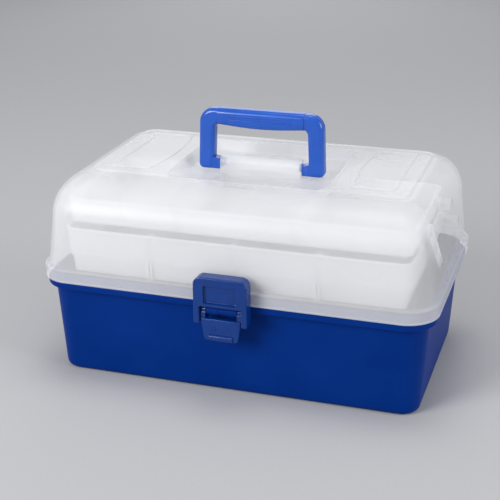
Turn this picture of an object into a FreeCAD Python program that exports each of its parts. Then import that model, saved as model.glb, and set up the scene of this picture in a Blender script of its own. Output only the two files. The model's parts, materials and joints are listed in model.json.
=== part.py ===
import FreeCAD, Part
import math
import os
import Sketcher

# Art supply box: a blue tub with a milky lid, two cantilever trays, a carrying handle and a front latch.
# Origin at the middle of the underside, X along the length, the front faces -Y, Z up, millimetres.

doc = FreeCAD.newDocument("art_supply_box")
sheet = doc.addObject("Spreadsheet::Sheet", "dims")

SIZES = {
    # Lid flange, the widest part of the case
    "flange_length": 330.0,
    "flange_depth": 200.0,
    "flange_bottom": 84.5,
    "flange_height": 12.0,
    "flange_corner": 27.0,
    "flange_round": 2.6,
    # Lid wall, dome and flat top
    "lid_wall": 2.2,
    "wall_step": 3.5,
    "wall_corner": 24.0,
    "lean_end": 4.5,
    "lean_front": 3.5,
    "lean_back": 2.5,
    "lid_height": 83.5,
    "dome_height": 31.0,
    "dome_end": 23.0,
    "dome_front": 39.0,
    "dome_back": 17.0,
    "dome_corner": 22.0,
    "top_corner": 12.0,
    "plateau_rise": 2.0,
    "plateau_inset": 1.5,
    "plateau_bevel": 1.2,
    # Bordered panels on the lid's top
    "panel_edge": 14.0,
    "panel_width": 35.5,
    "panel_margin": 27.0,
    "panel_shift": 1.5,
    "panel_arc": 228.0,
    "panel_border": 4.5,
    "panel_rise": 0.9,
    # Handle recess and saddle
    "recess_length": 136.0,
    "recess_back": 60.0,
    "recess_slope": 5.0,
    "recess_front": 62.0,
    "ramp_foot": 14.0,
    "recess_corner": 7.0,
    "saddle_length": 70.0,
    "saddle_radius": 7.0,
    # Handle
    "handle_y": 0.0,
    "handle_sink": 1.0,
    "handle_swing_play": 0.57,
    "handle_width": 109.0,
    "handle_reach": 46.0,
    "handle_foot": 6.2,
    "handle_thick": 12.0,
    "handle_leg": 13.0,
    "handle_bar": 13.0,
    "handle_corner": 12.0,
    "handle_inner": 4.0,
    "handle_edge": 2.4,
    "foot_height": 11.0,
    "foot_lift": 0.6,
    "foot_inset": 1.0,
    "stub_radius": 3.4,
    "stub_length": 7.0,
    "grip_length": 74.0,
    "grip_swell": 0.8,
    "grip_drop": 2.2,
    "grip_crown": 0.4,
    "grip_round": 3.2,
    "rib_length": 54.0,
    "rib_height": 1.2,
    "rib_rise": 0.6,
    "rib_pitch": 3.4,
    # Base tub
    "base_inset_end": 12.5,
    "base_inset_side": 14.0,
    "base_corner": 15.0,
    "rim_inset_end": 6.75,
    "rim_inset_side": 6.5,
    "rim_corner": 22.0,
    "rim_rise": 5.5,
    "base_wall": 2.4,
    "base_round": 5.0,
    "lip_drop": 6.0,
    "lip_height": 5.4,
    "lip_out": 2.0,
    # Trays
    "tray_wall": 1.8,
    "tray_gap": 2.2,
    "tray_corner": 9.0,
    "tray_draft": 1.2,
    "rim_bead": 1.0,
    "bead_height": 2.6,
    "lower_front_gap": 16.0,
    "lower_tail": 10.3,
    "lower_lift": 3.5,
    "lower_height": 39.5,
    "step_height": 15.0,
    "step_in": 1.6,
    "tray_space": 2.0,
    "upper_front_gap": 23.0,
    "upper_tail": 13.5,
    "upper_height": 21.5,
    # Divider plates and their guide ribs
    "divider_thick": 1.6,
    "divider_play": 0.15,
    "divider_below": 1.5,
    "guide_width": 1.2,
    "guide_reach": 2.4,
    "lower_pitch": 70.0,
    "upper_pitch": 96.0,
    # Cantilever linkage
    "hinge_reach": 3.5,
    "hinge_drop": 4.5,
    "link_run": 72.0,
    "link_rise": 58.0,
    "lower_share": 0.58,
    "arm_reach": 67.5,
    "arm_room": 12.55,
    "arm_thick": 3.0,
    "arm_half": 6.0,
    "boss_radius": 6.0,
    "boss_length": 6.2,
    "side_play": 0.3,
    "pin_radius": 2.0,
    "pin_play": 0.06,
    "open_play": 0.2,
    "pin_head": 3.8,
    "head_thick": 1.2,
    "head_play": 0.2,
    "pin_seat": 4.5,
    "seat_play": 0.5,
    # Lid hinge
    "hinge_x": 95.0,
    "lid_knuckle": 20.0,
    "base_knuckle": 10.0,
    "knuckle_play": 0.3,
    "knuckle_radius": 4.0,
    "hinge_pin_radius": 1.6,
    "knuckle_web": 10.0,
    # Latch
    "hasp_width": 44.0,
    "hasp_drop": 13.9,
    "hasp_rise": 25.1,
    "hasp_thick": 11.6,
    "hasp_gap": 0.4,
    "hasp_leg": 4.8,
    "yoke_lift": 0.6,
    "hasp_corner": 6.5,
    "hasp_edge": 1.2,
    "window_width": 28.0,
    "window_lift": 3.1,
    "window_height": 16.0,
    "window_depth": 2.4,
    "lever_play": 0.5,
    "lever_reach": 4.0,
    "lever_drop": 4.4,
    "ear_radius": 3.9,
    "ear_width": 3.6,
    "ear_play": 0.4,
    "plate_drop": 9.9,
    "plate_height": 18.5,
    "plate_thick": 4.0,
    "plate_front": 6.0,
    "plate_taper": 3.0,
    "fin_radius": 1.8,
    "fin_length": 20.0,
    "fin_lift": 2.6,
    "nub_radius": 1.2,
    "lug_gap": 6.0,
    "lug_drop": 5.0,
    "hasp_pin_reach": 6.5,
    "hasp_pin_drop": 10.1,
    "latch_pin_radius": 1.4,
}

# Sizes that follow from the driving ones
FOLLOWING = {
    "wall_length": "flange_length - 2 * wall_step",
    "wall_depth": "flange_depth - 2 * wall_step",
    "top_length": "wall_length - 2 * (lean_end + dome_end)",
    "top_front": "wall_depth / 2 - lean_front - dome_front",
    "top_back": "wall_depth / 2 - lean_back - dome_back",
    "dome_top": "flange_bottom + lid_height",
    "panel_outer": "top_length / 2 - panel_edge",
    "panel_inner": "panel_outer - panel_width",
    "panel_depth": "top_front + top_back - panel_margin",
    "panel_centre": "(top_back - top_front) / 2 - panel_shift",
    "handle_z": "dome_top + plateau_rise - handle_sink",
    "swing_foot": "handle_foot - handle_edge",
    "swing_side": "handle_thick / 2 - handle_edge",
    "swing_radius": "sqrt(swing_foot ^ 2 + swing_side ^ 2) + handle_edge",
    "recess_drop": "handle_sink + swing_radius + handle_swing_play",
    "base_length": "flange_length - 2 * base_inset_end",
    "base_depth": "flange_depth - 2 * base_inset_side",
    "rim_length": "flange_length - 2 * rim_inset_end",
    "rim_depth": "flange_depth - 2 * rim_inset_side",
    "rim_top": "flange_bottom + rim_rise",
    "lip_bottom": "flange_bottom - lip_drop",
    "hinge_y": "flange_depth / 2 + hinge_reach",
    "hinge_z": "flange_bottom - hinge_drop",
    "arm_base_y": "hinge_y - arm_reach",
    "boss_face": "rim_length / 2 - arm_room",
    "tray_length": "2 * (boss_face - tray_gap)",
    "lower_front": "flange_depth / 2 - lower_front_gap",
    "lower_back": "hinge_y - lower_share * link_run + lower_tail",
    "lower_floor": "flange_bottom + lower_lift",
    "lower_step": "lower_floor + step_height",
    "lower_top": "lower_floor + lower_height",
    "upper_front": "flange_depth / 2 - upper_front_gap",
    "upper_back": "hinge_y - link_run + upper_tail",
    "upper_floor": "lower_top + tray_space",
    "upper_top": "upper_floor + upper_height",
    "hasp_bottom": "flange_bottom - hasp_drop",
    "hasp_top": "flange_bottom + hasp_rise",
    "hasp_yoke": "flange_bottom + yoke_lift",
    "window_bottom": "flange_bottom + window_lift",
    "window_top": "window_bottom + window_height",
    "lever_y": "flange_depth / 2 + lever_reach",
    "lever_z": "flange_bottom - lever_drop",
    "plate_top": "flange_bottom - plate_drop",
    "plate_bottom": "plate_top - plate_height",
    "hasp_pin_y": "flange_depth / 2 + hasp_pin_reach",
    "hasp_pin_z": "flange_bottom - hasp_pin_drop",
}
rows = [(alias, str(number)) for alias, number in SIZES.items()]
rows += [(alias, f"={formula}") for alias, formula in FOLLOWING.items()]
for row, (alias, content) in enumerate(rows, 1):
    sheet.set(f"A{row}", alias)
    sheet.set(f"B{row}", content)
    sheet.setAlias(f"B{row}", alias)
doc.recompute()

SIDES = (("left", -1), ("right", 1))
DOME_STEPS = (0, 15, 30, 45, 60, 75, 90)
FOOT_STEPS = (90, 60, 30, 0)
BEYOND = "dims.flange_length"
NEAR = 1e-4


def value(expression):
    """Number that an expression of the sheet comes to now."""
    return float(sheet.evalExpression(expression))


# Places that several pieces share, as expressions of the driving sizes
flange_top = "(dims.flange_bottom + dims.flange_height)"
dome_base = "(dims.dome_top - dims.dome_height)"
plateau_top = "(dims.dome_top + dims.plateau_rise)"
recess_floor = f"({plateau_top} - dims.recess_drop)"
arm_inner = "(dims.boss_face + dims.side_play)"
arm_outer = f"({arm_inner} + dims.arm_thick)"
base_boss_face = f"({arm_outer} + dims.side_play)"
tray_boss_inner = "(dims.boss_face - dims.boss_length)"
hinge_pivot = ("dims.hinge_y", "dims.hinge_z")
lid_upper_pivot = ("(dims.hinge_y - dims.link_run)", "(dims.hinge_z + dims.link_rise)")
lid_lower_pivot = (
    "(dims.hinge_y - dims.lower_share * dims.link_run)",
    "(dims.hinge_z + dims.lower_share * dims.link_rise)",
)
arm_pivot = ("dims.arm_base_y", "dims.hinge_z")
arm_upper_pivot = ("(dims.arm_base_y - dims.link_run)", lid_upper_pivot[1])
arm_lower_pivot = ("(dims.arm_base_y - dims.lower_share * dims.link_run)", lid_lower_pivot[1])
lever_pivot = ("(-dims.lever_y)", "dims.lever_z")
hasp_pivot = ("(-dims.hasp_pin_y)", "dims.hasp_pin_z")
lever_half = "(dims.hasp_width / 2 - dims.hasp_leg - dims.lever_play)"
lug_half = f"({lever_half} - dims.ear_width - dims.ear_play)"


# Building blocks

def new_body(label):
    body = doc.addObject("PartDesign::Body", label)
    body.Label = label
    return body


def origin_plane(body, role):
    return next(item for item in body.Origin.OriginFeatures if item.Role == role)


def new_sketch(body, name, role, offsets):
    """Sketch on an origin plane, moved by expressions along its own axes."""
    sketch = body.newObject("Sketcher::SketchObject", name)
    sketch.AttachmentSupport = [(origin_plane(body, role), "")]
    sketch.MapMode = "FlatFace"
    for axis, expression in offsets.items():
        sketch.setExpression(f"AttachmentOffset.Base.{axis}", expression)
    return sketch


def bind(sketch, name, constraint, expression):
    """Adds a named dimension to a sketch and ties it to the sheet."""
    index = sketch.addConstraint(constraint)
    sketch.renameConstraint(index, name)
    sketch.setExpression(f"Constraints.{name}", expression)


def rounded_rectangle(body, name, length, depth, corner, height, centre="0"):
    """Level outline with round corners, centred on X and at a stated height and depth."""
    sketch = new_sketch(body, name, "XY_Plane", {"y": centre, "z": height})
    half_x = value(length) / 2
    half_y = value(depth) / 2
    radius = value(corner)
    spots = ((1, -1), (1, 1), (-1, 1), (-1, -1))
    quarter = math.pi / 2
    arcs = []
    for turn, (sx, sy) in enumerate(spots):
        middle = FreeCAD.Vector(sx * (half_x - radius), sy * (half_y - radius), 0)
        circle = Part.Circle(middle, FreeCAD.Vector(0, 0, 1), radius)
        arcs.append(Part.ArcOfCircle(circle, (turn - 1) * quarter, turn * quarter))
    for turn, arc in enumerate(arcs):
        before = arcs[turn - 1]
        sketch.addGeometry(Part.LineSegment(before.EndPoint, arc.StartPoint))
        sketch.addGeometry(arc)
    for item in range(8):
        sketch.addConstraint(Sketcher.Constraint("Tangent", item, 2, (item + 1) % 8, 1))
    for item in (0, 4):
        sketch.addConstraint(Sketcher.Constraint("Horizontal", item))
        sketch.addConstraint(Sketcher.Constraint("Vertical", item + 2))
    for item in (3, 5, 7):
        sketch.addConstraint(Sketcher.Constraint("Equal", 1, item))
    sketch.addConstraint(Sketcher.Constraint("Symmetric", 1, 3, 5, 3, -1, 1))
    bind(sketch, "length", Sketcher.Constraint("DistanceX", 6, 1, 2, 1, 2 * half_x), length)
    bind(sketch, "depth", Sketcher.Constraint("DistanceY", 0, 1, 4, 1, 2 * half_y), depth)
    bind(sketch, "corner", Sketcher.Constraint("Radius", 1, radius), corner)
    return sketch


def loft(body, name, sections, cut=False, ruled=True):
    kind = "PartDesign::SubtractiveLoft" if cut else "PartDesign::AdditiveLoft"
    feature = body.newObject(kind, name)
    feature.Profile = sections[0]
    feature.Sections = sections[1:]
    feature.Ruled = ruled
    return feature


def pad(body, name, sketch, length):
    feature = body.newObject("PartDesign::Pad", name)
    feature.Profile = sketch
    feature.setExpression("Length", length)
    return feature


def block(body, name, x, y, z, cut=False):
    """Box between a low and a high expression along each axis."""
    kind = "PartDesign::SubtractiveBox" if cut else "PartDesign::AdditiveBox"
    feature = body.newObject(kind, name)
    for size, axis, (low, high) in zip(("Length", "Width", "Height"), "xyz", (x, y, z)):
        feature.setExpression(size, f"({high}) - ({low})")
        feature.setExpression(f"Placement.Base.{axis}", low)
    return feature


def rod(body, name, radius, x, pivot, cut=False):
    """Cylinder along X between a low and a high expression, about a (y, z) pivot."""
    kind = "PartDesign::SubtractiveCylinder" if cut else "PartDesign::AdditiveCylinder"
    feature = body.newObject(kind, name)
    low, high = x
    feature.Placement.Rotation = FreeCAD.Rotation(FreeCAD.Vector(0, 1, 0), 90)
    feature.setExpression("Radius", radius)
    feature.setExpression("Height", f"({high}) - ({low})")
    feature.setExpression("Placement.Base.x", low)
    feature.setExpression("Placement.Base.y", pivot[0])
    feature.setExpression("Placement.Base.z", pivot[1])
    return feature


def fillet(body, name, base, test, radius, kind="PartDesign::Fillet", size="Radius"):
    """Rounds or bevels the edges of a feature that pass a test."""
    doc.recompute()
    edges = [f"Edge{i}" for i, edge in enumerate(base.Shape.Edges, 1) if test(edge)]
    feature = body.newObject(kind, name)
    feature.Base = (base, edges)
    feature.setExpression(size, radius)
    return feature


def level_edge(height):
    """Test for an edge that lies level at a height."""
    return lambda edge: max(abs(edge.BoundBox.ZMin - height), abs(edge.BoundBox.ZMax - height)) < NEAR


def side_range(sign, inner, outer):
    """Low and high X expressions on the left (-1) or right (1) end."""
    return (inner, outer) if sign > 0 else (f"-({outer})", f"-({inner})")


def around(centre, half):
    """Low and high expressions on both sides of a centre."""
    return (f"({centre}) - ({half})", f"({centre}) + ({half})")


def mirrored(half):
    """Low and high expressions on both sides of the middle."""
    return (f"-({half})", half)


def cut_out(label, outer, core):
    result = doc.addObject("Part::Cut", label)
    result.Label = label
    result.Base = outer
    result.Tool = core
    return result


# Base tub

def tub_section(body, name, angle, inset):
    """Outline of the tub at an angle of its round foot, inset by a wall."""
    radius = f"(dims.base_round - {inset})"
    height = f"({inset} + {radius} * (1 - sin({angle})))"
    shrink = f"2 * ({inset} + {radius} * (1 - cos({angle})))"
    length = f"dims.base_length + (dims.rim_length - dims.base_length) * {height} / dims.rim_top - {shrink}"
    depth = f"dims.base_depth + (dims.rim_depth - dims.base_depth) * {height} / dims.rim_top - {shrink}"
    corner = f"dims.base_corner - {shrink} / 2"
    return rounded_rectangle(body, name, length, depth, corner, height)


def tub_hull(body, inset):
    """Round foot and leaning wall of the tub, inset by a wall thickness."""
    sections = [tub_section(body, f"foot_{angle}", angle, inset) for angle in FOOT_STEPS]
    loft(body, "foot", sections, ruled=False)
    spring = tub_section(body, "wall_foot", 0, inset)
    length = f"dims.rim_length - 2 * {inset}"
    depth = f"dims.rim_depth - 2 * {inset}"
    rim = rounded_rectangle(body, "wall_rim", length, depth, f"dims.rim_corner - {inset}", "dims.rim_top")
    return loft(body, "tub_wall", [spring, rim])


def make_base():
    outer = new_body("base_outer")
    tub_hull(outer, "0")
    lip_length = "dims.rim_length + 2 * dims.lip_out"
    lip_depth = "dims.rim_depth + 2 * dims.lip_out"
    lip_corner = "dims.rim_corner + dims.lip_out"
    lip_sketch = rounded_rectangle(outer, "lip_outline", lip_length, lip_depth, lip_corner, "dims.lip_bottom")
    pad(outer, "lip", lip_sketch, "dims.lip_height")
    knuckle_drop = "dims.hinge_z - dims.knuckle_radius"
    for side, sign in SIDES:
        for spot, edge in (("inner", -1), ("outer", 1)):
            near = "(dims.lid_knuckle / 2 + dims.knuckle_play)"
            far = f"({near} + dims.base_knuckle)"
            low, high = (near, far) if edge > 0 else (f"-{far}", f"-{near}")
            x = (f"{sign} * dims.hinge_x + {low}", f"{sign} * dims.hinge_x + {high}")
            y = ("dims.rim_depth / 2 - dims.base_wall", "dims.hinge_y")
            z = (knuckle_drop, "dims.hinge_z + dims.knuckle_radius")
            block(outer, f"hinge_lug_{side}_{spot}", x, y, z)
            rod(outer, f"hinge_knuckle_{side}_{spot}", "dims.knuckle_radius", x, hinge_pivot)
    for side, sign in SIDES:
        x = side_range(sign, "dims.lug_gap / 2", lug_half)
        y = (lever_pivot[0], "-(dims.rim_depth / 2 - 2 * dims.base_wall)")
        z = ("dims.lever_z - dims.lug_drop", "dims.lever_z + dims.ear_radius")
        block(outer, f"latch_lug_{side}", x, y, z)
        rod(outer, f"latch_knuckle_{side}", "dims.ear_radius", x, lever_pivot)
    hinge_bore = "dims.hinge_pin_radius + dims.pin_play"
    rod(outer, "hinge_bore", hinge_bore, mirrored(BEYOND), hinge_pivot, cut=True)
    seat = f"({base_boss_face} + dims.pin_seat + dims.seat_play)"
    rod(outer, "arm_seat", "dims.pin_radius + dims.pin_play", mirrored(seat), arm_pivot, cut=True)
    latch_bore = "dims.latch_pin_radius + dims.pin_play"
    rod(outer, "latch_bore", latch_bore, mirrored(lever_half), lever_pivot, cut=True)

    core = new_body("base_core")
    tub_hull(core, "dims.base_wall")
    for side, sign in SIDES:
        x = side_range(sign, base_boss_face, BEYOND)
        rod(core, f"arm_boss_{side}", "dims.boss_radius", x, arm_pivot, cut=True)
    return cut_out("base_shell", outer, core)


# Lid

def dome_section(body, name, angle, inset, top):
    """Outline of the dome at an angle of its quarter-ellipse side, inset by a wall."""
    length = f"dims.top_length + 2 * dims.dome_end * cos({angle}) - 2 * {inset}"
    front = f"(dims.top_front + dims.dome_front * cos({angle}))"
    back = f"(dims.top_back + dims.dome_back * cos({angle}))"
    depth = f"{front} + {back} - 2 * {inset}"
    centre = f"({back} - {front}) / 2"
    corner = f"dims.top_corner + (dims.dome_corner - dims.top_corner) * cos({angle}) - {inset}"
    height = f"{dome_base} + ({top} - {dome_base}) * sin({angle})"
    return rounded_rectangle(body, name, length, depth, corner, height, centre)


def lid_hull(body, inset, flange_roof, top):
    """Wall and dome above the flange, inset by a wall thickness."""
    length = f"dims.wall_length - 2 * {inset}"
    depth = f"dims.wall_depth - 2 * {inset}"
    foot = rounded_rectangle(body, "wall_foot", length, depth, f"dims.wall_corner - {inset}", flange_roof)
    sections = [dome_section(body, f"dome_{angle}", angle, inset, top) for angle in DOME_STEPS]
    spring = dome_section(body, "wall_head", 0, inset, top)
    loft(body, "wall", [foot, spring])
    return loft(body, "dome", sections, ruled=False)


def panel_loop(sketch, first, tag, inset):
    """One loop of a panel's border: three straight sides and an arc towards the middle."""
    inner = f"dims.panel_inner + {inset}"
    outer = f"dims.panel_outer - {inset}"
    depth = f"dims.panel_depth - 2 * {inset}"
    radius = f"dims.panel_arc - {inset}"
    x0, x1, half, bend = value(inner), value(outer), value(depth) / 2, value(radius)
    front_in, front_out = FreeCAD.Vector(x0, -half, 0), FreeCAD.Vector(x1, -half, 0)
    back_out, back_in = FreeCAD.Vector(x1, half, 0), FreeCAD.Vector(x0, half, 0)
    bulge = FreeCAD.Vector(x0 - (bend - (bend ** 2 - half ** 2) ** 0.5), 0, 0)
    sketch.addGeometry(Part.LineSegment(front_in, front_out))
    sketch.addGeometry(Part.LineSegment(front_out, back_out))
    sketch.addGeometry(Part.LineSegment(back_out, back_in))
    sketch.addGeometry(Part.Arc(back_in, bulge, front_in))
    front, side, back, arc = range(first, first + 4)
    sketch.addConstraint(Sketcher.Constraint("Coincident", front, 2, side, 1))
    sketch.addConstraint(Sketcher.Constraint("Coincident", side, 2, back, 1))
    sketch.addConstraint(Sketcher.Constraint("Coincident", back, 2, arc, 1))
    sketch.addConstraint(Sketcher.Constraint("Coincident", arc, 2, front, 1))
    sketch.addConstraint(Sketcher.Constraint("Horizontal", front))
    sketch.addConstraint(Sketcher.Constraint("Horizontal", back))
    sketch.addConstraint(Sketcher.Constraint("Vertical", side))
    sketch.addConstraint(Sketcher.Constraint("Symmetric", front, 1, back, 2, -1))
    bind(sketch, f"inner_{tag}", Sketcher.Constraint("DistanceX", -1, 1, front, 1, x0), inner)
    bind(sketch, f"outer_{tag}", Sketcher.Constraint("DistanceX", -1, 1, side, 1, x1), outer)
    bind(sketch, f"depth_{tag}", Sketcher.Constraint("DistanceY", side, 1, side, 2, 2 * half), depth)
    bind(sketch, f"arc_{tag}", Sketcher.Constraint("Radius", arc, bend), radius)


def recess_section(body, name, widen, grow, height):
    """Outline of the handle recess, widened upwards, with a ramp to the front and grown by a wall."""
    reach = f"({'dims.recess_front' if widen else 'dims.ramp_foot'} + {grow})"
    length = f"dims.recess_length - 2 * dims.recess_slope * {1 - widen} + 2 * {grow}"
    back = f"(dims.recess_back - dims.recess_slope * {1 - widen} + {grow})"
    depth = f"{back} + {reach}"
    centre = f"({back} - ({reach})) / 2"
    return rounded_rectangle(body, name, length, depth, f"dims.recess_corner + {grow}", height, centre)


def make_lid():
    outer = new_body("lid_outer")
    outline = rounded_rectangle(
        outer, "flange_outline", "dims.flange_length", "dims.flange_depth", "dims.flange_corner",
        "dims.flange_bottom")
    flange = pad(outer, "flange", outline, "dims.flange_height")
    fillet(outer, "flange_ridge", flange, level_edge(value(flange_top)), "dims.flange_round")
    lid_hull(outer, "0", flange_top, "dims.dome_top")

    # Raised flat top with a bevelled edge
    length = "dims.top_length - 2 * dims.plateau_inset"
    depth = "dims.top_front + dims.top_back - 2 * dims.plateau_inset"
    corner = "dims.top_corner - dims.plateau_inset"
    centre = "(dims.top_back - dims.top_front) / 2"
    bevel_start = f"{plateau_top} - dims.plateau_bevel"
    lower = rounded_rectangle(outer, "plateau_foot", length, depth, corner, "dims.dome_top", centre)
    middle = rounded_rectangle(outer, "plateau_edge", length, depth, corner, bevel_start, centre)
    slim = " - 2 * dims.plateau_bevel"
    upper = rounded_rectangle(
        outer, "plateau_face", length + slim, depth + slim, f"{corner} - dims.plateau_bevel",
        plateau_top, centre)
    loft(outer, "plateau", [lower, middle, upper])

    # Bordered panels, one at each end of the top
    border = new_sketch(outer, "panel_outline", "XY_Plane", {"y": "dims.panel_centre", "z": plateau_top})
    panel_loop(border, 0, "rim", "0")
    panel_loop(border, 4, "field", "dims.panel_border")
    ring = pad(outer, "panel_ring", border, "dims.panel_rise")
    doc.recompute()
    twin = outer.newObject("PartDesign::Mirrored", "panel_ring_left")
    twin.Originals = [ring]
    twin.MirrorPlane = (origin_plane(outer, "YZ_Plane"), [""])
    outer.Tip = twin

    # Handle recess, with the saddle that carries the handle's stubs
    low = recess_section(outer, "recess_floor", 0, "0", recess_floor)
    high = recess_section(outer, "recess_mouth", 1, "0", f"{plateau_top} + dims.panel_rise")
    loft(outer, "recess", [low, high], cut=True)
    saddle_y = around("dims.handle_y", "dims.saddle_radius")
    saddle_z = (f"{recess_floor} - dims.lid_wall / 2", "dims.handle_z")
    block(outer, "saddle", mirrored("dims.saddle_length / 2"), saddle_y, saddle_z)
    handle_axis = ("dims.handle_y", "dims.handle_z")
    rod(outer, "saddle_crown", "dims.saddle_radius", mirrored("dims.saddle_length / 2"), handle_axis)
    for side, sign in SIDES:
        inner = "dims.saddle_length / 2 - dims.stub_length - dims.seat_play"
        x = side_range(sign, inner, "dims.saddle_length / 2 + dims.side_play")
        rod(outer, f"stub_bore_{side}", "dims.stub_radius + dims.pin_play", x, handle_axis, cut=True)

    # Hinge knuckles on the rear of the flange
    for side, sign in SIDES:
        x = around(f"{sign} * dims.hinge_x", "dims.lid_knuckle / 2")
        y = ("dims.flange_depth / 2 - dims.lid_wall / 2", "dims.hinge_y + dims.knuckle_radius")
        z = ("dims.hinge_z", "dims.hinge_z + dims.knuckle_web")
        block(outer, f"hinge_web_{side}", x, y, z)
        rod(outer, f"hinge_knuckle_{side}", "dims.knuckle_radius", x, hinge_pivot)
    hinge_bore = "dims.hinge_pin_radius + dims.pin_play"
    rod(outer, "hinge_bore", hinge_bore, mirrored(BEYOND), hinge_pivot, cut=True)

    # Seats for the pins that carry the trays
    seat = f"({arm_inner} + dims.pin_seat + dims.seat_play)"
    for name, pivot in (("lower", lid_lower_pivot), ("upper", lid_upper_pivot)):
        rod(outer, f"{name}_seat", "dims.pin_radius + dims.pin_play", mirrored(seat), pivot, cut=True)

    core = new_body("lid_core")
    flange_roof = f"({flange_top} - dims.lid_wall)"
    length = "dims.flange_length - 2 * dims.lid_wall"
    depth = "dims.flange_depth - 2 * dims.lid_wall"
    corner = "dims.flange_corner - dims.lid_wall"
    outline = rounded_rectangle(core, "skirt_outline", length, depth, corner, "dims.flange_bottom")
    pad(core, "skirt", outline, f"{flange_roof} - dims.flange_bottom")
    lid_hull(core, "dims.lid_wall", flange_roof, "(dims.dome_top - dims.lid_wall)")
    low = recess_section(core, "tub_floor", 0, "dims.lid_wall", f"{recess_floor} - dims.lid_wall")
    high = recess_section(core, "tub_mouth", 1, "dims.lid_wall", plateau_top)
    loft(core, "tub", [low, high], cut=True)
    for side, sign in SIDES:
        x = side_range(sign, arm_inner, BEYOND)
        for name, pivot in (("lower", lid_lower_pivot), ("upper", lid_upper_pivot)):
            rod(core, f"{name}_boss_{side}", "dims.boss_radius", x, pivot, cut=True)
    return cut_out("lid_shell", outer, core)


# Trays and dividers

def tray_outline(body, name, front, back, height, inset, wall="0"):
    """Level outline of a tray, inset by its draft or step and by its wall."""
    shrink = f"({inset} + {wall})"
    length = f"dims.tray_length - 2 * {shrink}"
    depth = f"{front} + {back} - 2 * {shrink}"
    corner = f"dims.tray_corner - {wall}"
    return rounded_rectangle(body, name, length, depth, corner, height, f"({back} - {front}) / 2")


def tray_levels(name):
    """Heights and insets of a tray's outline from its floor to its rim."""
    draft = "dims.tray_draft"
    if name == "upper":
        return [("dims.upper_floor", draft), ("dims.upper_top", "0")]
    deep = f"({draft} + dims.step_in)"
    return [
        ("dims.lower_floor", f"({deep} + {draft})"),
        ("dims.lower_step", deep),
        ("dims.lower_step", draft),
        ("dims.lower_top", "0"),
    ]


def tray_stack(body, tag, front, back, levels, wall, cut=False):
    """Lofts between the tray's outlines, two by two, so that the step stays sharp."""
    for part in range(0, len(levels), 2):
        pair = []
        for level in (part, part + 1):
            height, inset = levels[level]
            pair.append(tray_outline(body, f"{tag}_outline_{level}", front, back, height, inset, wall))
        loft(body, f"{tag}_{part}", pair, cut)


def divider_spots(name):
    """X expressions of a tray's divider plates."""
    if name == "lower":
        return [f"{step} * dims.lower_pitch" for step in (-1, 0, 1)]
    return [f"{step} * dims.upper_pitch / 2" for step in (-1, 1)]


def divider_span(name):
    """Low and high Y expressions of a tray's divider plates, and their low and high Z."""
    front, back = f"dims.{name}_front", f"dims.{name}_back"
    floor_inset = tray_levels(name)[0][1]
    margin = f"({floor_inset} + dims.tray_wall + dims.divider_play)"
    y = (f"-({front}) + {margin}", f"{back} - {margin}")
    z = (f"dims.{name}_floor + dims.tray_wall", f"dims.{name}_top - dims.divider_below")
    return y, z


def make_tray(name, lid_pivot, link_pivot):
    front, back = f"dims.{name}_front", f"dims.{name}_back"
    levels = tray_levels(name)
    outer = new_body(f"{name}_tray_outer")
    tray_stack(outer, "shell", front, back, levels, "0")
    bead = tray_outline(
        outer, "bead_outline", front, back, f"dims.{name}_top - dims.bead_height", "-dims.rim_bead")
    pad(outer, "rim_bead", bead, "dims.bead_height")
    for spot, pivot in (("lid", lid_pivot), ("link", link_pivot)):
        rod(outer, f"{spot}_boss", "dims.boss_radius", mirrored("dims.boss_face"), pivot)
    for spot, pivot, play in (("lid", lid_pivot, "dims.pin_play"), ("link", link_pivot, "dims.open_play")):
        rod(outer, f"{spot}_bore", f"dims.pin_radius + {play}", mirrored(BEYOND), pivot, cut=True)

    core = new_body(f"{name}_tray_core")
    inner_levels = [list(level) for level in levels]
    inner_levels[0][0] = f"({levels[0][0]} + dims.tray_wall)"
    if name == "lower":
        inner_levels[1][0] = f"({levels[1][0]} + dims.tray_wall)"
        inner_levels[2][0] = f"({levels[2][0]} + dims.tray_wall)"
    tray_stack(core, "room", front, back, inner_levels, "dims.tray_wall")
    (plate_front, plate_back), (plate_low, plate_high) = divider_span(name)
    for index, spot in enumerate(divider_spots(name)):
        near = "(dims.divider_thick / 2 + dims.divider_play)"
        for edge, sign in SIDES:
            low, high = side_range(sign, near, f"{near} + dims.guide_width")
            x = (f"{spot} + ({low})", f"{spot} + ({high})")
            z = (f"dims.{name}_floor", plate_high)
            y_front = (f"-({front})", f"{plate_front} + dims.guide_reach")
            y_back = (f"{plate_back} - dims.guide_reach", back)
            block(core, f"guide_front_{index}_{edge}", x, y_front, z, cut=True)
            block(core, f"guide_back_{index}_{edge}", x, y_back, z, cut=True)
    for side, sign in SIDES:
        x = side_range(sign, tray_boss_inner, BEYOND)
        for spot, pivot in (("lid", lid_pivot), ("link", link_pivot)):
            rod(core, f"{spot}_boss_{side}", "dims.boss_radius", x, pivot, cut=True)
    return cut_out(f"{name}_tray", outer, core)


def make_dividers(name):
    plates = []
    y, z = divider_span(name)
    for index, spot in enumerate(divider_spots(name)):
        plate = new_body(f"{name}_divider_{index}")
        block(plate, "plate", around(spot, "dims.divider_thick / 2"), y, z)
        plates.append(plate)
    group = doc.addObject("Part::Compound", f"{name}_tray_dividers")
    group.Label = f"{name}_tray_dividers"
    group.Links = plates
    return group


# Linkage

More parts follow.
